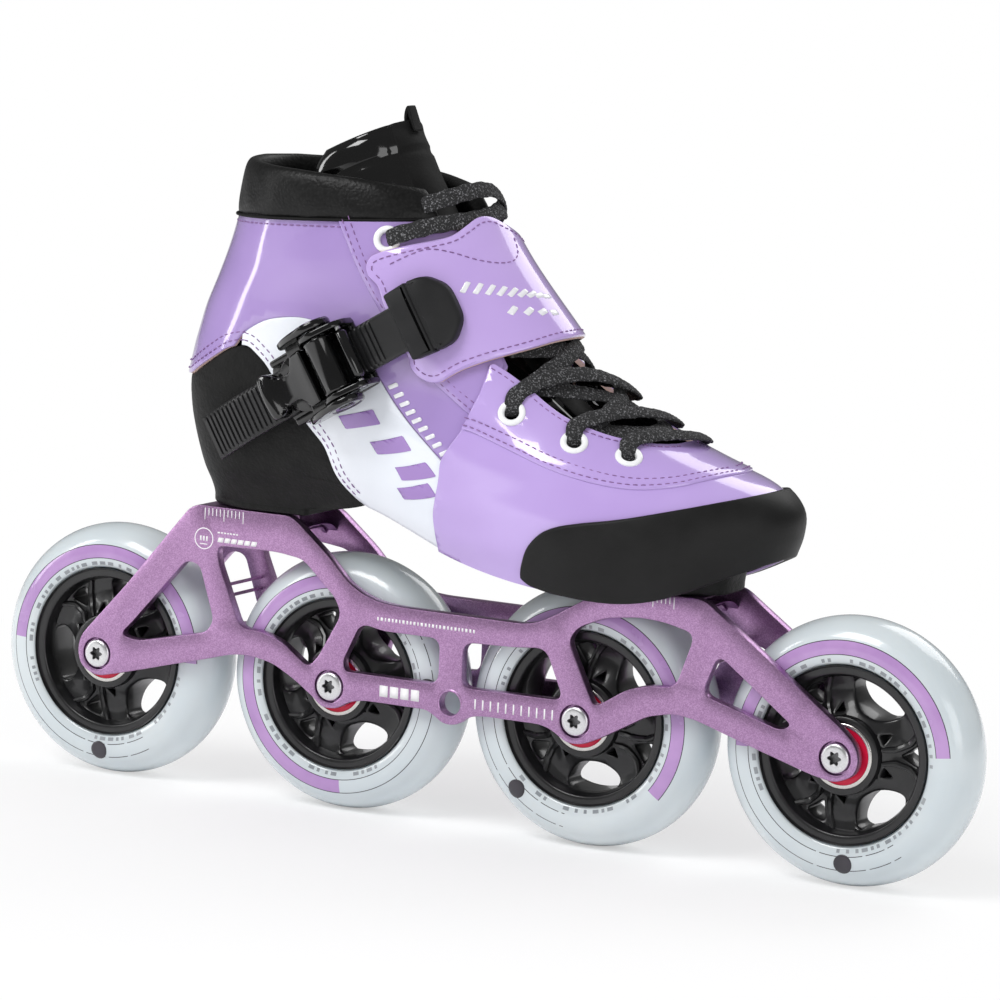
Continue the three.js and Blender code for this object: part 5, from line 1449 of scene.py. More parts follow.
# ---------------------------------------------------------------- lace
def ribbon(path, normals, half_width=3.05, half_thick=0.85, seg=28, step=0.55):
    """Flat woven lace with a herring-bone plait."""
    length = arc_length(path)
    n = max(8, int(length[-1] / step))
    t = np.linspace(0, length[-1], n)
    centre, up = along(t, length, path), unit(along(t, length, normals))
    forward = unit(np.gradient(centre, axis=0))
    across = unit(np.cross(forward, up))
    up = np.cross(across, forward)
    cos, sin = np.cos(angles(seg)), np.sin(angles(seg))
    round_x = np.sign(cos) * np.abs(cos) ** 0.8
    round_y = np.sign(sin) * np.abs(sin) ** 0.75
    end = np.minimum(1, np.minimum(t, t[-1] - t) / 1.6 + 0.35)
    width = half_width * (0.97 + 0.05 * np.sin(t * 0.9 + 1)) * end
    side = round_x[None] * width[:, None]
    plait = 0.14 * np.cos((t[:, None] * 2.1 + np.abs(side) * 2.2)) * np.cos(side * 1.9)
    height = half_thick * end[:, None] * round_y[None] * (1 - 0.18 * np.abs(round_x)[None] ** 2)
    height = height + np.sign(sin)[None] * plait * (np.abs(sin) > 0.2)[None]
    points = centre[:, None] + across[:, None] * side[:, :, None]
    verts, faces = grid(points + up[:, None] * height[:, :, None], loop_j=True)
    first, last = end_rings(n, seg)
    return verts, faces + [first[::-1], last]


def add_lace(parts, points):
    q = curve(points, 18)
    normals = surf_normal(np.clip(q[:, 1], 0, 12), q[:, 0])
    parts.add(*ribbon(boot_at(q[:, 1], q[:, 0], q[:, 2]), normals))


# Lace paths are (u, v, height). The first three cross between the lower eyelet pairs.
CROSSINGS = [
    [(.716, 5.92, 2.6), (.745, 6.32, 3.2), (.80, 6.68, 3.0), (.87, 6.86, 3.1), (.94, 6.84, 3.7),
     (1.0, 6.66, 4.1), (1.06, 6.4, 4.0), (1.13, 6.15, 3.4), (1.24, 5.9, 2.6)],
    [(.765, 5.08, 2.6), (.79, 5.42, 3.2), (.835, 5.68, 3.1), (.89, 5.82, 3.3), (.95, 5.80, 3.9),
     (1.0, 5.68, 4.2), (1.06, 5.48, 4.1), (1.13, 5.2, 3.5), (1.20, 5.0, 2.7)],
    [(.821, 4.62, 2.6), (.845, 4.88, 3.2), (.885, 5.02, 3.3), (.93, 5.02, 3.8),
     (.97, 4.94, 4.2), (1.0, 4.86, 4.4), (1.05, 4.76, 4.1), (1.11, 4.64, 3.4),
     (1.16, 4.54, 2.7)]]
UNDER_RUNS = [
    [(.765, 5.35, -2.2), (.80, 5.45, -0.6), (.88, 5.9, 0.4), (1.0, 6.35, 1.3), (1.12, 6.6, 0.6),
     (1.22, 6.7, -1.8)],
    [(.785, 4.9, -2.2), (.83, 5.05, -0.5), (.90, 5.3, 0.4), (1.0, 5.4, 1.2), (1.12, 5.5, 0.5),
     (1.22, 5.55, -1.8)],
    [(.755, 6.3, -2.2), (.80, 6.75, -0.4), (.88, 7.15, 0.4), (1.0, 7.5, 0.9), (1.12, 7.55, 0.4),
     (1.2, 7.55, -1.6)]]
TOP_RUNS = [
    [(.652, 9.66, -0.8), (.668, 9.70, 2.9), (.71, 9.80, 3.3), (.77, 9.92, 2.8),
     (.84, 10.0, 2.2), (.92, 10.06, 1.8), (1.0, 10.12, 2.2), (1.08, 10.16, 3.0),
     (1.2, 10.05, 3.4), (1.3, 9.8, 3.0), (1.348, 9.66, -0.8)],
    [(.735, 10.35, -2.5), (.765, 10.42, 0.4), (.81, 10.50, 2.6), (.87, 10.58, 3.7),
     (.93, 10.64, 4.3), (1.0, 10.62, 4.9), (1.06, 10.5, 5.1), (1.14, 10.28, 4.5),
     (1.24, 10.0, 3.8), (1.31, 9.75, 3.0), (1.35, 9.66, 1.6)]]
laces = Parts()
for (u, v), run in zip(EYELETS[1:], CROSSINGS):
    add_lace(laces, [(u, v, -0.6)] + run + [(2 - u, v, -0.6)])
for run in UNDER_RUNS:
    add_lace(laces, run)
    # the mirrored run passes below it
    add_lace(laces, [(2 - u, v, off - 0.9 if .8 < u < 1.2 else off) for u, v, off in run[::-1]])
for run in TOP_RUNS:
    add_lace(laces, run)
laces.make("lace_visual", [lace_black], "chassis", node="lace", slot="lace")

EYELET = [                         # radius, height above the leather
    (2.45, -2.6), (2.45, -0.2), (2.6, 0.35), (2.95, 0.72), (3.5, 0.85), (4.1, 0.74),
    (4.55, 0.42), (4.72, 0.0), (4.6, -0.35), (3.0, -0.5), (2.95, -2.6)]
eyelets = Parts()
for k, (u_lateral, v) in enumerate(EYELETS):
    for u in (u_lateral, 2 - u_lateral):
        off = 1.05 if k == 0 else 1.05 + float(vamp_off(v, u)) - 0.2
        normal = surf_normal(v, u)
        axis_a = unit(np.cross(normal, [0.3, 0.2, 1.0]))
        axis_b = np.cross(normal, axis_a)
        verts, faces = lathe(EYELET, 40)
        verts = (boot_at(v, u, off) + verts[:, :1] * axis_a + verts[:, 2:3] * axis_b
                 + verts[:, 1:2] * normal)
        eyelets.add(verts, faces)
eyelets.make("eyelets", [eyelet_white], "chassis", auto=50, recalc=True)


# ---------------------------------------------------------------- collar
def settle(obj, pins, pressure, frames, limit, stiffness):
    """Lets a padded mesh puff up, held at the pinned points, no point moving over limit mm."""
    mesh = obj.data
    n = len(mesh.vertices)
    before = np.zeros(n * 3)
    mesh.vertices.foreach_get("co", before)
    before = before.reshape(-1, 3)
    group = obj.vertex_groups.new(name="pin")
    group.add([int(i) for i in np.nonzero(pins)[0]], 1.0, "REPLACE")
    cloth = obj.modifiers.new("cloth", "CLOTH")
    settings = cloth.settings
    settings.quality = 6
    settings.mass = 0.2
    settings.tension_stiffness = stiffness
    settings.compression_stiffness = stiffness
    settings.shear_stiffness = stiffness
    settings.bending_stiffness = 1.2
    settings.air_damping = 4
    settings.use_pressure = True
    settings.uniform_pressure_force = pressure
    settings.vertex_group_mass = "pin"
    settings.pin_stiffness = 1.0
    settings.effector_weights.gravity = 0.0
    cloth.collision_settings.use_self_collision = False
    cloth.collision_settings.use_collision = False
    cloth.point_cache.frame_start = 1
    cloth.point_cache.frame_end = frames
    scene = bpy.context.scene
    for frame_number in range(1, frames + 1):
        scene.frame_set(frame_number)
    evaluated = obj.evaluated_get(bpy.context.evaluated_depsgraph_get())
    after = np.zeros(n * 3)
    evaluated.to_mesh().vertices.foreach_get("co", after)
    evaluated.to_mesh_clear()
    obj.modifiers.remove(cloth)
    scene.frame_set(1)
    move = after.reshape(-1, 3) - before
    size = np.linalg.norm(move, axis=1)
    most = limit * MM
    move *= np.where(size > most, most / np.maximum(size, 1e-9), 1.0)[:, None]
    if not np.isfinite(move).all():
        return
    mesh.vertices.foreach_set("co", (before + move).ravel())
    mesh.update()


def make_collar(rows=150, around=30, low=10.02):
    """Padded roll sewn to the quarter; low: v of its lower edge."""
    u = np.linspace(-0.805, 0.805, rows)
    top = np.interp(np.abs(u), [0, .15, .3, .45, .6, .7, .8],
                    [11.78, 11.74, 11.62, 11.45, 11.25, 11.08, 10.92])
    end = np.clip((0.805 - np.abs(u)) / 0.045, 0.0, 1.0)
    end = 0.62 + 0.38 * np.sqrt(1 - (1 - end) ** 2)
    points = np.zeros((rows, around, 3))
    pins = np.zeros(rows * around, bool)
    for k in range(around):
        a = 2 * pi * k / around
        c, s = math.cos(a), math.sin(a)
        out = np.sign(c) * abs(c) ** 0.72
        up = np.sign(s) * abs(s) ** 0.72
        pucker = (0.16 * np.sin(u * 58 + 2 * math.sin(3 * a)) * (0.5 - 0.5 * up) * (c > 0)
                  + 0.18 * np.sin(u * 21 + a))
        off = -2.3 + (3.6 if c > 0 else 3.4) * out * end + pucker * (1 if c > -0.3 else 0.3)
        points[:, k] = boot_at((low + top) / 2 + (top - low) / 2 * up, u, off)
        if s < -0.86:
            pins[np.arange(rows) * around + k] = True
    pins[:around * 2] = True
    pins[-around * 2:] = True
    verts, faces = grid(points, loop_j=True)
    first, last = end_rings(rows, around)
    collar = piece("collar_pad_visual", verts, faces + [first, last[::-1]], collar_black,
                   "chassis", node="collar_pad", slot="collar_leather", recalc=True)
    settle(collar, pins, pressure=3.2, frames=14, limit=1.3, stiffness=20.0)
    subdivide = collar.modifiers.new("sub", "SUBSURF")
    subdivide.levels = 1
    subdivide.render_levels = 1
    subdivide.uv_smooth = "NONE"


make_collar()
# piping where the collar meets the quarter
u = np.linspace(-0.80, 0.80, 260)
piece("collar_piping", *tube(boot_at(np.full(260, COLLAR_SEAM + 0.01), u, 0.75 + 0 * u), 0.55),
      trim, "chassis")

# ---------------------------------------------------------------- tongue
TONGUE = np.array([                # middle line x, z; half width; depth; half angle (radians)
    [61, 134.5, 17, 9, 1.35], [48, 141.5, 20, 13, 1.35], [34.5, 151, 21.5, 17, 1.35],
    [19.5, 164.5, 22, 20, 1.4], [6, 180, 22, 21, 1.5], [-6.5, 196, 22, 22, 1.6],
    [-17, 211, 21.5, 23, 1.75], [-25.5, 226, 23.0, 25, 1.85], [-30.6, 236.2, 22.8, 24.5, 1.85],
    [-32.9, 240.8, 20.5, 21.5, 1.75]], float)


def tongue_at(t, across, depth):
    """t from toe end to top, 0..9; across -1..1 (lateral..medial); depth below the front."""
    row = spline(TONGUE, t)
    ahead = spline(TONGUE, np.minimum(t + .05, 9)) - spline(TONGUE, np.maximum(t - .05, 0))
    length = np.hypot(ahead[..., 0], ahead[..., 1])
    angle = across * row[..., 4]
    width = row[..., 2]
    scale = 1 - depth / width
    back = row[..., 3] * (1 - np.cos(angle) * scale)
    y = width * scale * np.sin(angle) * (1 + 0.05 * np.cos(2 * angle))
    return np.stack([row[..., 0] + -ahead[..., 1] / length * back, y,
                     row[..., 1] + ahead[..., 0] / length * back], -1)


def make_tongue(rows=84, columns=56):
    across = np.linspace(-1, 1, columns)
    t, f = np.meshgrid(np.linspace(0, 9, rows), across, indexing="ij")
    edge = np.minimum(1, (1 - np.abs(f)) / 0.10)
    top, bottom = np.clip((9 - t) / 0.35, 0, 1), np.clip(t / 0.3, 0, 1)
    thick = (3.9 * np.sqrt(np.clip(1 - (1 - edge) ** 2, 0.02, 1))
             * np.sqrt(np.clip(1 - (1 - top) ** 2, 0.05, 1)) * (0.4 + 0.6 * bottom))
    seam = (np.exp(-((t - 7.45 + 0.12 * f) / 0.075) ** 2) * 1.0
            + np.exp(-((np.abs(f + 0.02) - 0.30) / 0.018) ** 2) * 0.8)
    fold = (0.5 * np.sin(t * 2.1 + 3 * f) * np.sin(2.4 * f + t) * (t > 5)
            + 0.25 * np.sin(5.1 * t + 6 * f))
    sink = np.clip(0.5 - fold * 0.6 + seam * 0.7 - 0.3 * (np.abs(f) < .29), -0.4, 2.2)
    front, front_faces = grid(tongue_at(t, f, sink))
    back, back_faces = grid(tongue_at(t, f * 0.985, np.maximum(thick, 1.2) + 0.4), flip=True)
    faces = two_layers(front_faces, back_faces, rows, columns, turn=True)
    middle = [int(abs(x + 0.5 / columns) < 0.29) for x in across[:-1]] * (rows - 1)
    tags = middle + [2] * len(back_faces)
    tags += [1] * (len(faces) - len(tags))
    Parts().add(np.concatenate([front, back]), faces, tags).make(
        "tongue_visual", [black_patent, trim, lining], "tongue_body", node="tongue",
        slot="patent_black", recalc=True)


def make_tongue_tab(rows=26, columns=12):
    """Folded tab at the top of the tongue."""
    points = np.zeros((rows, columns, 3))
    for i in range(rows):
        s = i / (rows - 1)
        t = min(9.0, 8.1 + 0.9 * min(1, s * 2))
        depth = -0.9 if s < 0.5 else -0.9 + (s - .5) * 2 * 5.2
        lift = 4.4 * math.sin((s - 0.22) / 0.58 * pi) ** 0.7 if 0.22 < s < 0.80 else 0.0
        for j in range(columns):
            base = tongue_at(t, -0.06 + 0.13 * j / (columns - 1), depth)
            points[i, j] = base + np.array([-0.35 * lift, 0, lift])
    normal = unit(np.cross(np.gradient(points, axis=0), np.gradient(points, axis=1)))
    verts, front = grid(points)
    faces = two_layers(front, [f[::-1] for f in front], rows, columns)
    second = (points + normal * 0.9).reshape(-1, 3)
    piece("tongue_tab", np.concatenate([verts, second]), faces, trim, "tongue_body",
          recalc=True)


make_tongue()
make_tongue_tab()


# ---------------------------------------------------------------- lining and insole
def make_lining():
    """Padded inner boot."""
    u = np.linspace(0, 2, 220, endpoint=False)
    from_toe = np.abs(u - 1)
    rim = np.interp(1 - from_toe, [0, .67, .72, .77, .84, 1], [9.95, 9.9, 8.7, 4.75, 4.3, 4.3])

    def layer(off):
        off = off - 2.0 * ease(np.clip(1 - from_toe / .35, 0, 1))
        return np.stack([boot_at(1.15 + (rim - 1.15) * t, u,
                                 off + 0.25 * np.sin(u * 40) * np.sin(t * 22))
                         for t in np.linspace(0, 1, 36)])

    outer, inner = layer(-5.6), layer(-7.5)
    inner[0] = outer[0] * 0.5 + inner[0] * 0.5
    top = (outer[-1:] + inner[-1:]) / 2 + [0, 0, 0.5]
    mesh = grid(np.concatenate([outer, top, inner[::-1]]), loop_i=True, loop_j=True)
    piece("lining_visual", *mesh, lining, "chassis", node="lining", slot="foam", recalc=True)


def make_insole(rows=60, columns=18):
    under, upper = np.zeros((rows, columns, 3)), np.zeros((rows, columns, 3))
    for i in range(rows):
        u = math.acos(1 - 2 * (0.045 + 0.90 * i / (rows - 1))) / pi
        a, b = surf(0.0, u), surf(0.0, 2 - u)
        for j in range(columns):
            f = j / (columns - 1)
            y = (a[1] + 7) * (1 - f) + (b[1] - 7) * f
            z = a[2] * (1 - f) + b[2] * f
            edge = (2 * f - 1) ** 6
            under[i, j] = [a[0], y, z + 6.5 + edge * .6]
            upper[i, j] = [a[0], y, z + 8.9 + 0.3 * math.sin(i * .3) - edge * .4]
    top_verts, top_faces = grid(upper)
    low_verts, low_faces = grid(under, flip=True)
    piece("insole_visual", np.concatenate([top_verts, low_verts]),
          two_layers(top_faces, low_faces, rows, columns), lining, "chassis", node="insole",
          slot="foam", recalc=True, auto=50)


make_lining()
make_insole()

# ---------------------------------------------------------------- ratchet buckle
# Axes: p along the buckle strap, q outward (-Y), r across the strap.
TILT = math.radians(31)
ORIGIN = np.array([-46, -34.7, 154.0])
AXIS_P = np.array([math.cos(TILT), 0, math.sin(TILT)])
AXIS_Q = np.array([0, -1.0, 0])
AXIS_R = np.array([math.sin(TILT), 0, -math.cos(TILT)])
PIN, PAWL = (11.0, 10.2), (19.6, 9.0)      # p, q of the two pivots


def pqr(points):
    points = np.asarray(points, float)
    return ORIGIN + points[:, :1] * AXIS_P + points[:, 1:2] * AXIS_Q + points[:, 2:3] * AXIS_R


def slab_pr(outline, face_q, bevel, n=3, step=None):
    """Plate outlined in (p, r), with faces at face_q."""
    verts, faces = plate([outline], face_q, bevel, n, step)
    return pqr(verts), faces


def slab_pq(outline, r0, r1, bevel, n=3, holes=()):
    """Plate outlined in (p, q), from r0 to r1."""
    verts, faces = plate([outline, *holes], (-r1, -r0), bevel, n)
    return pqr(np.stack([verts[:, 0], verts[:, 2], -verts[:, 1]], -1)), faces


def rod(pivot, profile, seg):
    """Turned rod across the buckle."""
    verts, faces = lathe(profile, seg, closed=False, caps=True)
    return pqr(np.stack([pivot[0] + verts[:, 0], pivot[1] + verts[:, 2], -verts[:, 1]],
                        -1)), faces


def make_buckle_base():
    parts = Parts()
    parts.add(*slab_pr(smooth_loop([
        (-14.6, -9.5, 3), (-10.5, -12.4, 3), (22, -12.4, 2), (22, 12.4, 2), (-10.5, 12.4, 3),
        (-14.6, 9.5, 3)], 3, 6), (0.75, 2.5), 0.6))
    cheek = smooth_loop([
        (4.6, 1.6, .5), (22, 1.6, .5), (22.5, 8, 3), (20.6, 12.6, 4), (11, 16.7, 7),
        (5.6, 13.8, 4), (4.4, 9, 2)], 3, 6)
    for s in (-1, 1):
        r0, r1 = sorted((s * 10.05, s * 12.15))
        parts.add(*slab_pq(cheek, r0, r1, 0.45,
                           holes=[circle(*PIN, 1.75, 24), circle(*PAWL, 1.15, 20)]))
        rail = [(-12.5, s * 9.4), (3.9, s * 9.4), (3.9, s * 12.3), (-12.5, s * 12.0)]
        parts.add(*slab_pr(smooth_loop(rail[::s], 1, 4), (2.3, 5.2), 0.7))
    parts.make("buckle_base_visual", [gloss_black], "chassis", node="buckle_base",
               slot="buckle", auto=40)


def lever_q(p, r, side):
    if side == 0:
        return np.interp(p, [-17.3, -12, 3.4], [8.2, 6.0, 5.95])
    top = np.interp(p, [-17.4, -16.4, -15.2, -13.8, -12.2, -11, -9.6, -7, -3, 0, 2.2, 3.4],
                    [10.6, 12.6, 13.9, 14.3, 13.5, 11.6, 9.6, 9.0, 9.4, 10.4, 11.2, 11.3])
    return top + np.where(p < -10.6, 1.5 * (1 - (r / 8.2) ** 2) - 1.5,
                          0.45 * (1 - (np.abs(r) / 12) ** 2) - 0.3)


def make_buckle_lever():
    parts = Parts()
    half = [(-17.4, -4.6, 4), (-15.6, -7.7, 3), (-12.6, -8.2, 1.6), (-10.4, -6.2, 1.2),
            (-9.2, -4.9, 1.4), (-5.2, -4.7, 1.2), (-3.6, -6.6, 1), (-2.0, -9.4, 1),
            (3.4, -9.7, .8)]
    handle = half + [(p, -r, radius) for p, r, radius in half[::-1]]
    parts.add(*slab_pr(smooth_loop(handle, 1.5, 6), lever_q, 0.7, 4, step=1.15))
    disc = smooth_loop([
        (-4.6, 6.2, 1.2), (3, 5.3, 3), (6.6, 3.5, 4), (11.4, 2.9, 5), (16.4, 5.2, 5),
        (18.4, 10.2, 6), (16.4, 15.2, 6), (11.4, 17.6, 6), (5.4, 16.6, 5), (-0.6, 13.6, 5),
        (-4.7, 9.6, 2.5)], 3, 7)
    for s in (-1, 1):
        # low shoulder beside the narrow neck
        shoulder = [(-9.6, s * 4.4, .8), (-3.0, s * 4.4, .8), (-2.6, s * 9.6, 1),
                    (-3.4, s * 10.4, 1.2), (-7.5, s * 8.6, 2), (-9.8, s * 6.0, 1.2)]
        parts.add(*slab_pr(smooth_loop(shoulder[::s], 1, 4), (6.0, 7.3), 0.5))
        r0, r1 = sorted((s * 12.65, s * 15.1))
        parts.add(*slab_pq(disc, r0, r1, 0.75, 4, holes=[circle(*PIN, 2.45, 28)]))
        # raised ring round the pin
        r = s * 15.1
        verts, faces = lathe([(5.1, r - s * .5), (5.3, r + s * 0.12), (5.9, r + s * 0.34),
                              (6.5, r + s * 0.12), (6.7, r - s * 0.5)], 48)
        parts.add(pqr(np.stack([PIN[0] + verts[:, 0], PIN[1] + verts[:, 2], verts[:, 1]], -1)),
                  faces)
        bridge = [(-2.9, s * 8.6), (3.3, s * 8.6), (3.3, s * 13.2), (-2.9, s * 13.2)]
        parts.add(*slab_pr(smooth_loop(bridge[::s], .8, 3), (6.1, 8.6), 0.5, 2))
    parts.make("buckle_lever_visual", [gloss_black], "buckle_lever_body", node="buckle_lever",
               slot="buckle", auto=42, recalc=True)


def make_pawl(half=9.3):
    """Rounded bar; its outer and front faces curve away towards both ends."""
    verts, faces = slab_pq(smooth_loop([
        (17.2, 6.0, .8), (20.6, 6.3, 1), (22.8, 7.8, 1.6), (23.6, 10.4, 2.4), (22.4, 13.2, 2.4),
        (19.8, 14.0, 2.4), (17.5, 12.2, 1.5)], 2, 7), -half, half, 1.8, 6)
    local = (verts - ORIGIN) @ np.stack([AXIS_P, AXIS_Q, AXIS_R], 1)
    bow = (local[:, 2] / half) ** 2
    local[:, 1] -= np.where(local[:, 1] > 8.5,
                            2.6 * bow * np.clip((local[:, 1] - 8.5) / 4, 0, 1), 0)
    local[:, 0] -= 1.9 * bow * np.clip((local[:, 0] - 19.6) / 3.5, -0.55, 1)
    piece("buckle_pawl_visual", pqr(local), faces, gloss_black, "buckle_pawl_body",
          node="buckle_pawl", slot="buckle", auto=40)


make_buckle_base()
Parts().add(*rod(PIN, [
    (0.02, -15.5), (1.9, -15.5), (2.35, -15.25), (2.4, -14.95), (1.6, -14.9), (1.6, -9.7),
    (4.7, -9.6), (5.0, -9.3), (5.08, -8.8), (4.95, -8.4), (4.95, 8.4), (5.08, 8.8), (5.0, 9.3),
    (4.7, 9.6), (1.6, 9.7), (1.6, 14.9), (2.4, 14.95), (2.35, 15.25), (1.9, 15.5),
    (0.02, 15.5)], 48)).make("buckle_pin_visual", [gloss_black], "chassis", node="buckle_pin",
                             slot="buckle", auto=40, recalc=True)
make_buckle_lever()
make_pawl()
piece("pawl_pin_visual", *rod(PAWL, [
    (0.02, -12.05), (.75, -12.05), (.95, -11.85), (.95, 11.85), (.75, 12.05), (.02, 12.05)], 24),
    bolt_steel, "chassis", node="pawl_pin", slot="bolt_steel", auto=40, recalc=True)

# ---------------------------------------------------------------- ladder strap and its cap
TOOTH_PITCH = 2.1
LADDER_SECTION = [                 # r, height of the edge rounding, height of the teeth
    (-8.0, 0.5, 0), (-7.9, .8, 0), (-7.65, .95, 0), (-7.2, 1.0, 0.35), (-6.6, 1, 1), (-4, 1, 1),
    (0, 1, 1), (4, 1, 1), (6.6, 1, 1), (7.2, 1.0, .35), (7.65, .95, 0), (7.9, .8, 0),
    (8.0, 0.5, 0)]


def ladder_q(p):
    """Underside of the strap."""
    return float(np.interp(p, [-48.5, -43, -38, -34, -31, -22, 22, 30, 39, 46],
                           [-1.9, -0.2, 1.1, 2.0, 2.6, 3.0, 3.0, 2.9, 2.6, 2.2]))


def tooth(p):
    """Height of the ratchet teeth: a flat crest between two slopes, then a gap."""
    x = ((p + 50) % TOOTH_PITCH) / TOOTH_PITCH
    height = np.where(x < 0.12, x / 0.12,
                      np.where(x < 0.62, 1.0, np.where(x < 0.78, 1 - (x - .62) / .16, 0.0)))
    return float(height * np.where(p < 29.0, 0.62, 0.0) * (p > -47.8))


def make_ladder():
    corners = np.array([0, .04, .12, .2, .55, .62, .70, .78, .84]) * TOOTH_PITCH
    stations = [corners + -50 + TOOTH_PITCH * k for k in range(38)]
    ps = np.unique(np.round(np.concatenate([np.linspace(-48.6, 46, 64)] + stations), 3))
    ps = ps[(ps <= 46.01) & (ps >= -48.6)]
    top = np.array([[[p, ladder_q(p) + 1.72 * edge + tooth(p) * teeth, r]
                     for r, edge, teeth in LADDER_SECTION] for p in ps])
    under = np.array([[[p, ladder_q(p) + 0.25 * (1 - edge), r]
                       for r, edge, _ in LADDER_SECTION] for p in ps])
    points = np.concatenate([top, under[:, ::-1]], 1)
    verts, faces = grid(points, loop_j=True)
    first, last = end_rings(*points.shape[:2])
    piece("ladder_strap_visual", pqr(verts), faces + [first, last[::-1]], ladder_black,
          "ladder_body", node="ladder_strap", slot="ladder", auto=38, recalc=True)


def cap_q(p, r, side):
    low = np.interp(p, [38, 44, 48, 52, 58.5], [1.5, 1.2, -0.2, -2.4, -6.4])
    if side == 0:
        return low
    top = np.interp(p, [38, 39, 40, 44, 47.2, 48.4, 51, 54, 56.5, 58.5],
                    [7.3, 7.6, 7.6, 6.8, 5.8, 5.3, 3.8, 1.5, -0.8, -2.6])
    return np.maximum(top - 0.9 * (np.abs(r) / 12.8) ** 4, low + 1.6)


make_ladder()
cap = Parts()                      # two parts with a groove between, joined by a core
cap.add(*slab_pr(smooth_loop([
    (39.0, -12.0, .8), (47.0, -12.75, .6), (47.0, 12.75, .6), (39.0, 12.0, .8)], 2, 6),
    cap_q, 0.8, 4, step=1.1))
cap.add(*slab_pr(smooth_loop([
    (47.7, -12.8, .6), (52.8, -12.4, 5), (57.6, -6.5, 5), (57.9, 0, 6), (57.6, 6.5, 5),
    (52.8, 12.4, 5), (47.7, 12.8, .6)], 4, 9), cap_q, 1.1, 4, step=1.1))
cap.add(*slab_pr(smooth_loop([(45.2, -11.9), (49.6, -11.9), (49.6, 11.9), (45.2, 11.9)], .5, 3),
                 (0.4, 4.4), 0.3, 1))
cap.make("strap_cap_visual", [cap_black], "ladder_body", node="strap_cap", slot="bumper_rubber",
         auto=45)


# ---------------------------------------------------------------- stitching
def both_sides(name, line, off, **options):
    stitches(name + "_lateral", line, off, **options)
    stitches(name + "_medial", mirrored(line), off, **options)


def facing_seam_off(v, u):
    return vamp_off(v, u) + 0.88


def strap_seam_off(v, u):
    return strap_off(v, u) + 0.10 + strap_relief(v, u)


quarter_low = shell_top[(shell_top[:, 1] > 5.0) & (shell_top[:, 0] < 0.31)]
panel_rear = shell_top[(shell_top[:, 0] > 0.30) & (shell_top[:, 1] > 0.2)]
for name, line, near, far, off in (       # double seams, at two distances from an edge
        ("quarter_low", quarter_low, 1.8, 4.4, 0.12), ("panel", panel_rear, 1.8, 4.2, 0.14),
        ("stay", stay_rear, 1.6, 4.0, 1.12),
        ("facing", facing_low[:-1], 1.4, 3.9, facing_seam_off)):
    both_sides(f"seam_{name}_a", shifted(line, near), off)
    both_sides(f"seam_{name}_b", shifted(line, far), off)
both_sides("seam_throat", shifted(throat[throat[:, 0] < 0.97], -2.0), facing_seam_off,
           length=1.8)
both_sides("seam_collar", level(0.0, 0.80, 120, COLLAR_SEAM - 0.16), 0.10)
# strap: a run inside its edge and a scoop across its top
stitches("seam_strap", shifted(np.vstack([strap_line, strap_line[:1]]), -2.3), strap_seam_off,
         None)
stitches("seam_strap_scoop", curve([
    (0.640, 9.10), (0.69, 9.30), (0.731, 9.40), (0.776, 9.33), (0.829, 9.17), (0.88, 9.09),
    (0.925, 9.09), (0.96, 9.16), (0.99, 9.32), (1.01, 9.6)], 8), strap_seam_off, None)


# ---------------------------------------------------------------- printed blocks on the boot
def slant_block(u, v, width, height, skew, off, angle):
    """Chart outline of a slanted block centred on (u, v); angle from the X direction."""
    centre = np.array([u, v])
    axes = chart_axes(placer(float(field(off)(v, u))), centre)
    normal = unit(np.cross(*axes))
    level_x = unit(np.array([1.0, 0, 0]) - normal * normal[0])
    level_y = np.cross(normal, level_x)
    c, s = math.cos(angle), math.sin(angle)
    right, up = level_x * c + level_y * s, level_y * c - level_x * s
    w, h, k = width / 2, height / 2, skew / 2
    corners = [(-w - k, -h), (w - k, -h), (w + k, h), (-w + k, h)]
    return centre + chart_step(axes, np.array([a * right + b * up for a, b in corners]))


def print_blocks(name, outlines, off, mat, body="chassis"):
    off = field(off)
    parts = Parts()
    for outline in outlines:
        parts.add(*sheet_mesh(outline, lambda v, u: off(v, u) + 0.16, 0.4, edge=0.12, step=1.6,
                              edge_step=0.8, rings=(0.0, 1.0))[:2])
    return parts.make(name, [mat], body, auto=60)


def lay_on(obj, base, top=0.16, low=-0.24):
    """Lays a thin print on the piece under it: every point keeps its x and z and takes the
    piece's surface, seen from the lateral side. top, low: mm above the surface."""
    bpy.context.view_layer.update()
    tree = BVHTree.FromObject(base, bpy.context.evaluated_depsgraph_get())
    base_to_world, obj_to_world = base.matrix_world, obj.matrix_world
    direction = base_to_world.to_3x3().inverted() @ Vector((0, 1, 0))
    places = []
    for vert in obj.data.vertices:
        start = obj_to_world @ vert.co + Vector((0, -0.02, 0))
        hit, normal, _, _ = tree.ray_cast(base_to_world.inverted() @ start, direction)
        if hit is None:
            places.append(None)
            continue
        normal = (base_to_world.to_3x3() @ normal).normalized()
        facing_out = (obj_to_world.to_3x3() @ vert.normal).dot(normal)
        lift = top if facing_out > 0.3 else low if facing_out < -0.3 else (top + low) / 2
        places.append(obj_to_world.inverted() @ (base_to_world @ hit + normal * lift * 0.001))
    for vert, place in zip(obj.data.vertices, places):
        if place is not None:
            vert.co = place
    obj.data.update()


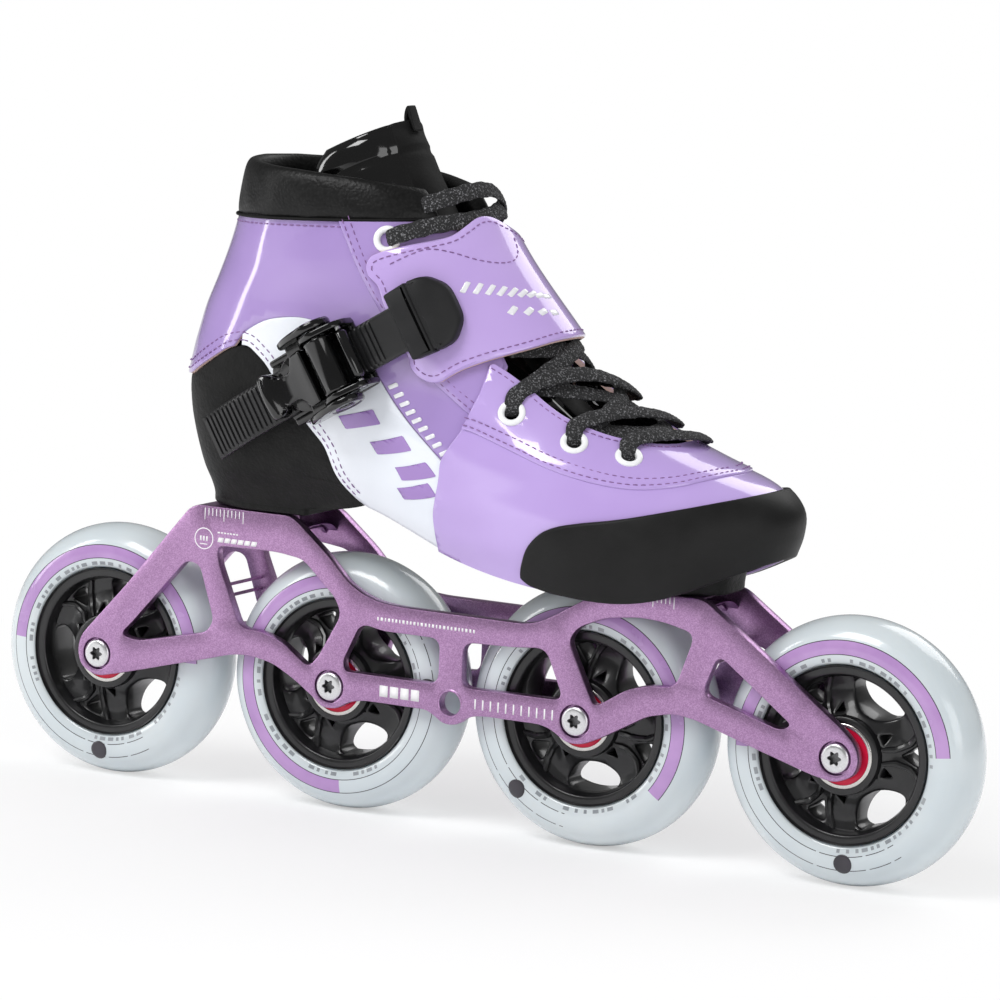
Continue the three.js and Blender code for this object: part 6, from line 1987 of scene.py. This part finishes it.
print_lilac = patent("print_lilac_patent", (0.33, 0.19, 0.52), (0.38, 0.23, 0.57), rough=0.2,
                     wave=0.15)
print_white = patent("print_white_patent", (0.80, 0.80, 0.84), (0.86, 0.86, 0.89), rough=0.2,
                     wave=0.15)
PANEL_BLOCKS = [(0.462, 4.72, 5.5), (0.478, 3.85, 5.5), (0.485, 2.95, 5.5),
                (0.474, 2.1, 5.0)]         # u, v, width
panel_print = print_blocks("panel_print_lateral", [
    slant_block(u, v, width, 12.5, skew=5.0, off=0.1, angle=-0.95)
    for u, v, width in PANEL_BLOCKS], 0.05, print_lilac)
lay_on(panel_print, bpy.data.objects["side_panel_lateral_visual"])
strap_blocks = [slant_block(u, v, 1.9, 4.3, skew=1.0, off=strap_off, angle=0.04)
                for u, v in zip(np.linspace(0.772, 0.985, 9), np.linspace(8.64, 8.42, 9))]
strap_blocks += [slant_block(u, v, 2.3, 3.6, skew=0.9, off=strap_off, angle=0.04)
                 for u, v in zip(np.linspace(0.85, 0.97, 4), np.linspace(8.2, 8.12, 4))]
print_blocks("strap_print", strap_blocks, lambda v, u: strap_off(v, u) + strap_relief(v, u),
             print_white, None)
print_blocks("quarter_print", [
    slant_block(u, v, 1.5, 3.6, skew=0.5, off=0.1, angle=-0.98)
    for u, v in zip(np.linspace(0.545, 0.548, 9), np.linspace(6.15, 4.0, 9))], 0.1, print_white)

# two points along the strap, from the boot towards the ladder
bend_start, bend_end = [tuple(((boot_at(v, u, 3.0) + [0, SIDE_SHIFT, 0]) * MM).tolist())
                        for v, u in ((8.2, 0.93), (8.0, 0.68))]
for name in ("ankle_strap_visual", "seam_strap", "seam_strap_scoop", "strap_print"):
    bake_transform(bpy.data.objects[name])


# ---------------------------------------------------------------- stage, in metres
def make_floor(half=6.0):
    """Pale floor; seen by the camera it fades into plain white away from the skate."""
    mesh = bpy.data.meshes.new("floor")
    mesh.from_pydata([(-half, -half, 0), (half, -half, 0), (half, half, 0), (-half, half, 0)],
                     [], [(0, 1, 2, 3)])
    floor = bpy.data.objects.new("floor", mesh)
    COLLECTION.objects.link(floor)
    look = Look("floor_pale", (0.93, 0.93, 0.94), rough=0.9, spec=0.1)
    look.colour(look.noise(scale=3, detail=2), ((0.93, 0.93, 0.94), (0.95, 0.95, 0.955)))
    distance = look.node("ShaderNodeVectorMath", operation="LENGTH")
    look.link(look.coords, distance.inputs[0])
    fade = map_range(look.tree, distance.outputs["Value"], low=0.45, high=1.0, start=0.05,
                     end=0.42)
    glow = look.node("ShaderNodeEmission")
    glow.inputs["Color"].default_value = (1, 1, 1, 1)
    glow.inputs["Strength"].default_value = 1.0
    rays = look.node("ShaderNodeLightPath")
    mix = look.node("ShaderNodeMixShader")
    look.link(multiply(look.tree, fade, rays.outputs["Is Camera Ray"]), mix.inputs[0])
    look.link(look.shader.outputs[0], mix.inputs[1])
    look.link(glow.outputs[0], mix.inputs[2])
    output = [n for n in look.tree.nodes if n.type == "OUTPUT_MATERIAL"][0]
    look.link(mix.outputs[0], output.inputs["Surface"])
    mesh.materials.append(look.material)


def make_world():
    """White to the camera, dimmer as light and dimmer still in reflections."""
    world = bpy.data.worlds.new("world")
    bpy.context.scene.world = world
    world.use_nodes = True
    tree = world.node_tree
    background = tree.nodes["Background"]
    background.inputs[0].default_value = (1, 1, 1, 1)
    rays = add_node(tree, "ShaderNodeLightPath")
    seen = map_range(tree, rays.outputs["Is Camera Ray"], low=0.56, high=1.0)
    glossy = map_range(tree, rays.outputs["Is Glossy Ray"], low=1.0, high=0.30)
    tree.links.new(multiply(tree, seen, glossy), background.inputs[1])


def area_light(name, place, target, width, power, height=None):
    light = bpy.data.lights.new(name, "AREA")
    light.shape = "RECTANGLE"
    light.size = width
    light.size_y = height or width
    light.energy = power
    obj = bpy.data.objects.new(name, light)
    COLLECTION.objects.link(obj)
    obj.location = place
    aim = Vector(target) - Vector(place)
    obj.rotation_euler = aim.to_track_quat("-Z", "Y").to_euler()


def make_camera():
    """Looks at the lateral side from ahead and slightly above."""
    camera = bpy.data.cameras.new("cam")
    obj = bpy.data.objects.new("cam", camera)
    COLLECTION.objects.link(obj)
    yaw, pitch, roll = 0.4854901149, 0.1425782641, 0.0427892125
    back = np.array([math.sin(yaw) * math.cos(pitch), -math.cos(yaw) * math.cos(pitch),
                     math.sin(pitch)])
    level_right = np.array([math.cos(yaw), math.sin(yaw), 0])
    level_up = np.cross(back, level_right)
    right = math.cos(roll) * level_right + math.sin(roll) * level_up
    up = -math.sin(roll) * level_right + math.cos(roll) * level_up
    place = (0.7193257, -1.3502899 + SIDE_SHIFT * MM, 0.3330972)
    matrix = Matrix.Identity(4)
    for i in range(3):
        for j, column in enumerate((right, up, back, place)):
            matrix[i][j] = column[i]
    obj.matrix_world = matrix
    camera.sensor_width = 36
    camera.lens = 163.092996
    camera.clip_start = 0.05
    camera.clip_end = 50
    bpy.context.scene.camera = obj


make_floor()
make_world()
area_light("key", (-0.45, -1.2, 1.55), target=(0, 0, 0.12), width=0.8, power=17.0)
area_light("fill", (1.7, -1.0, 0.6), target=(0, 0, 0.1), width=1.0, power=6.5)
area_light("rim", (0.35, 1.4, 1.3), target=(0, 0, 0.12), width=1.1, power=9)
area_light("strip", (-1.15, -0.75, 0.5), target=(-0.05, 0, 0.16), width=0.16, power=3.2,
           height=0.9)
make_camera()
bpy.context.scene.view_settings.view_transform = "Standard"
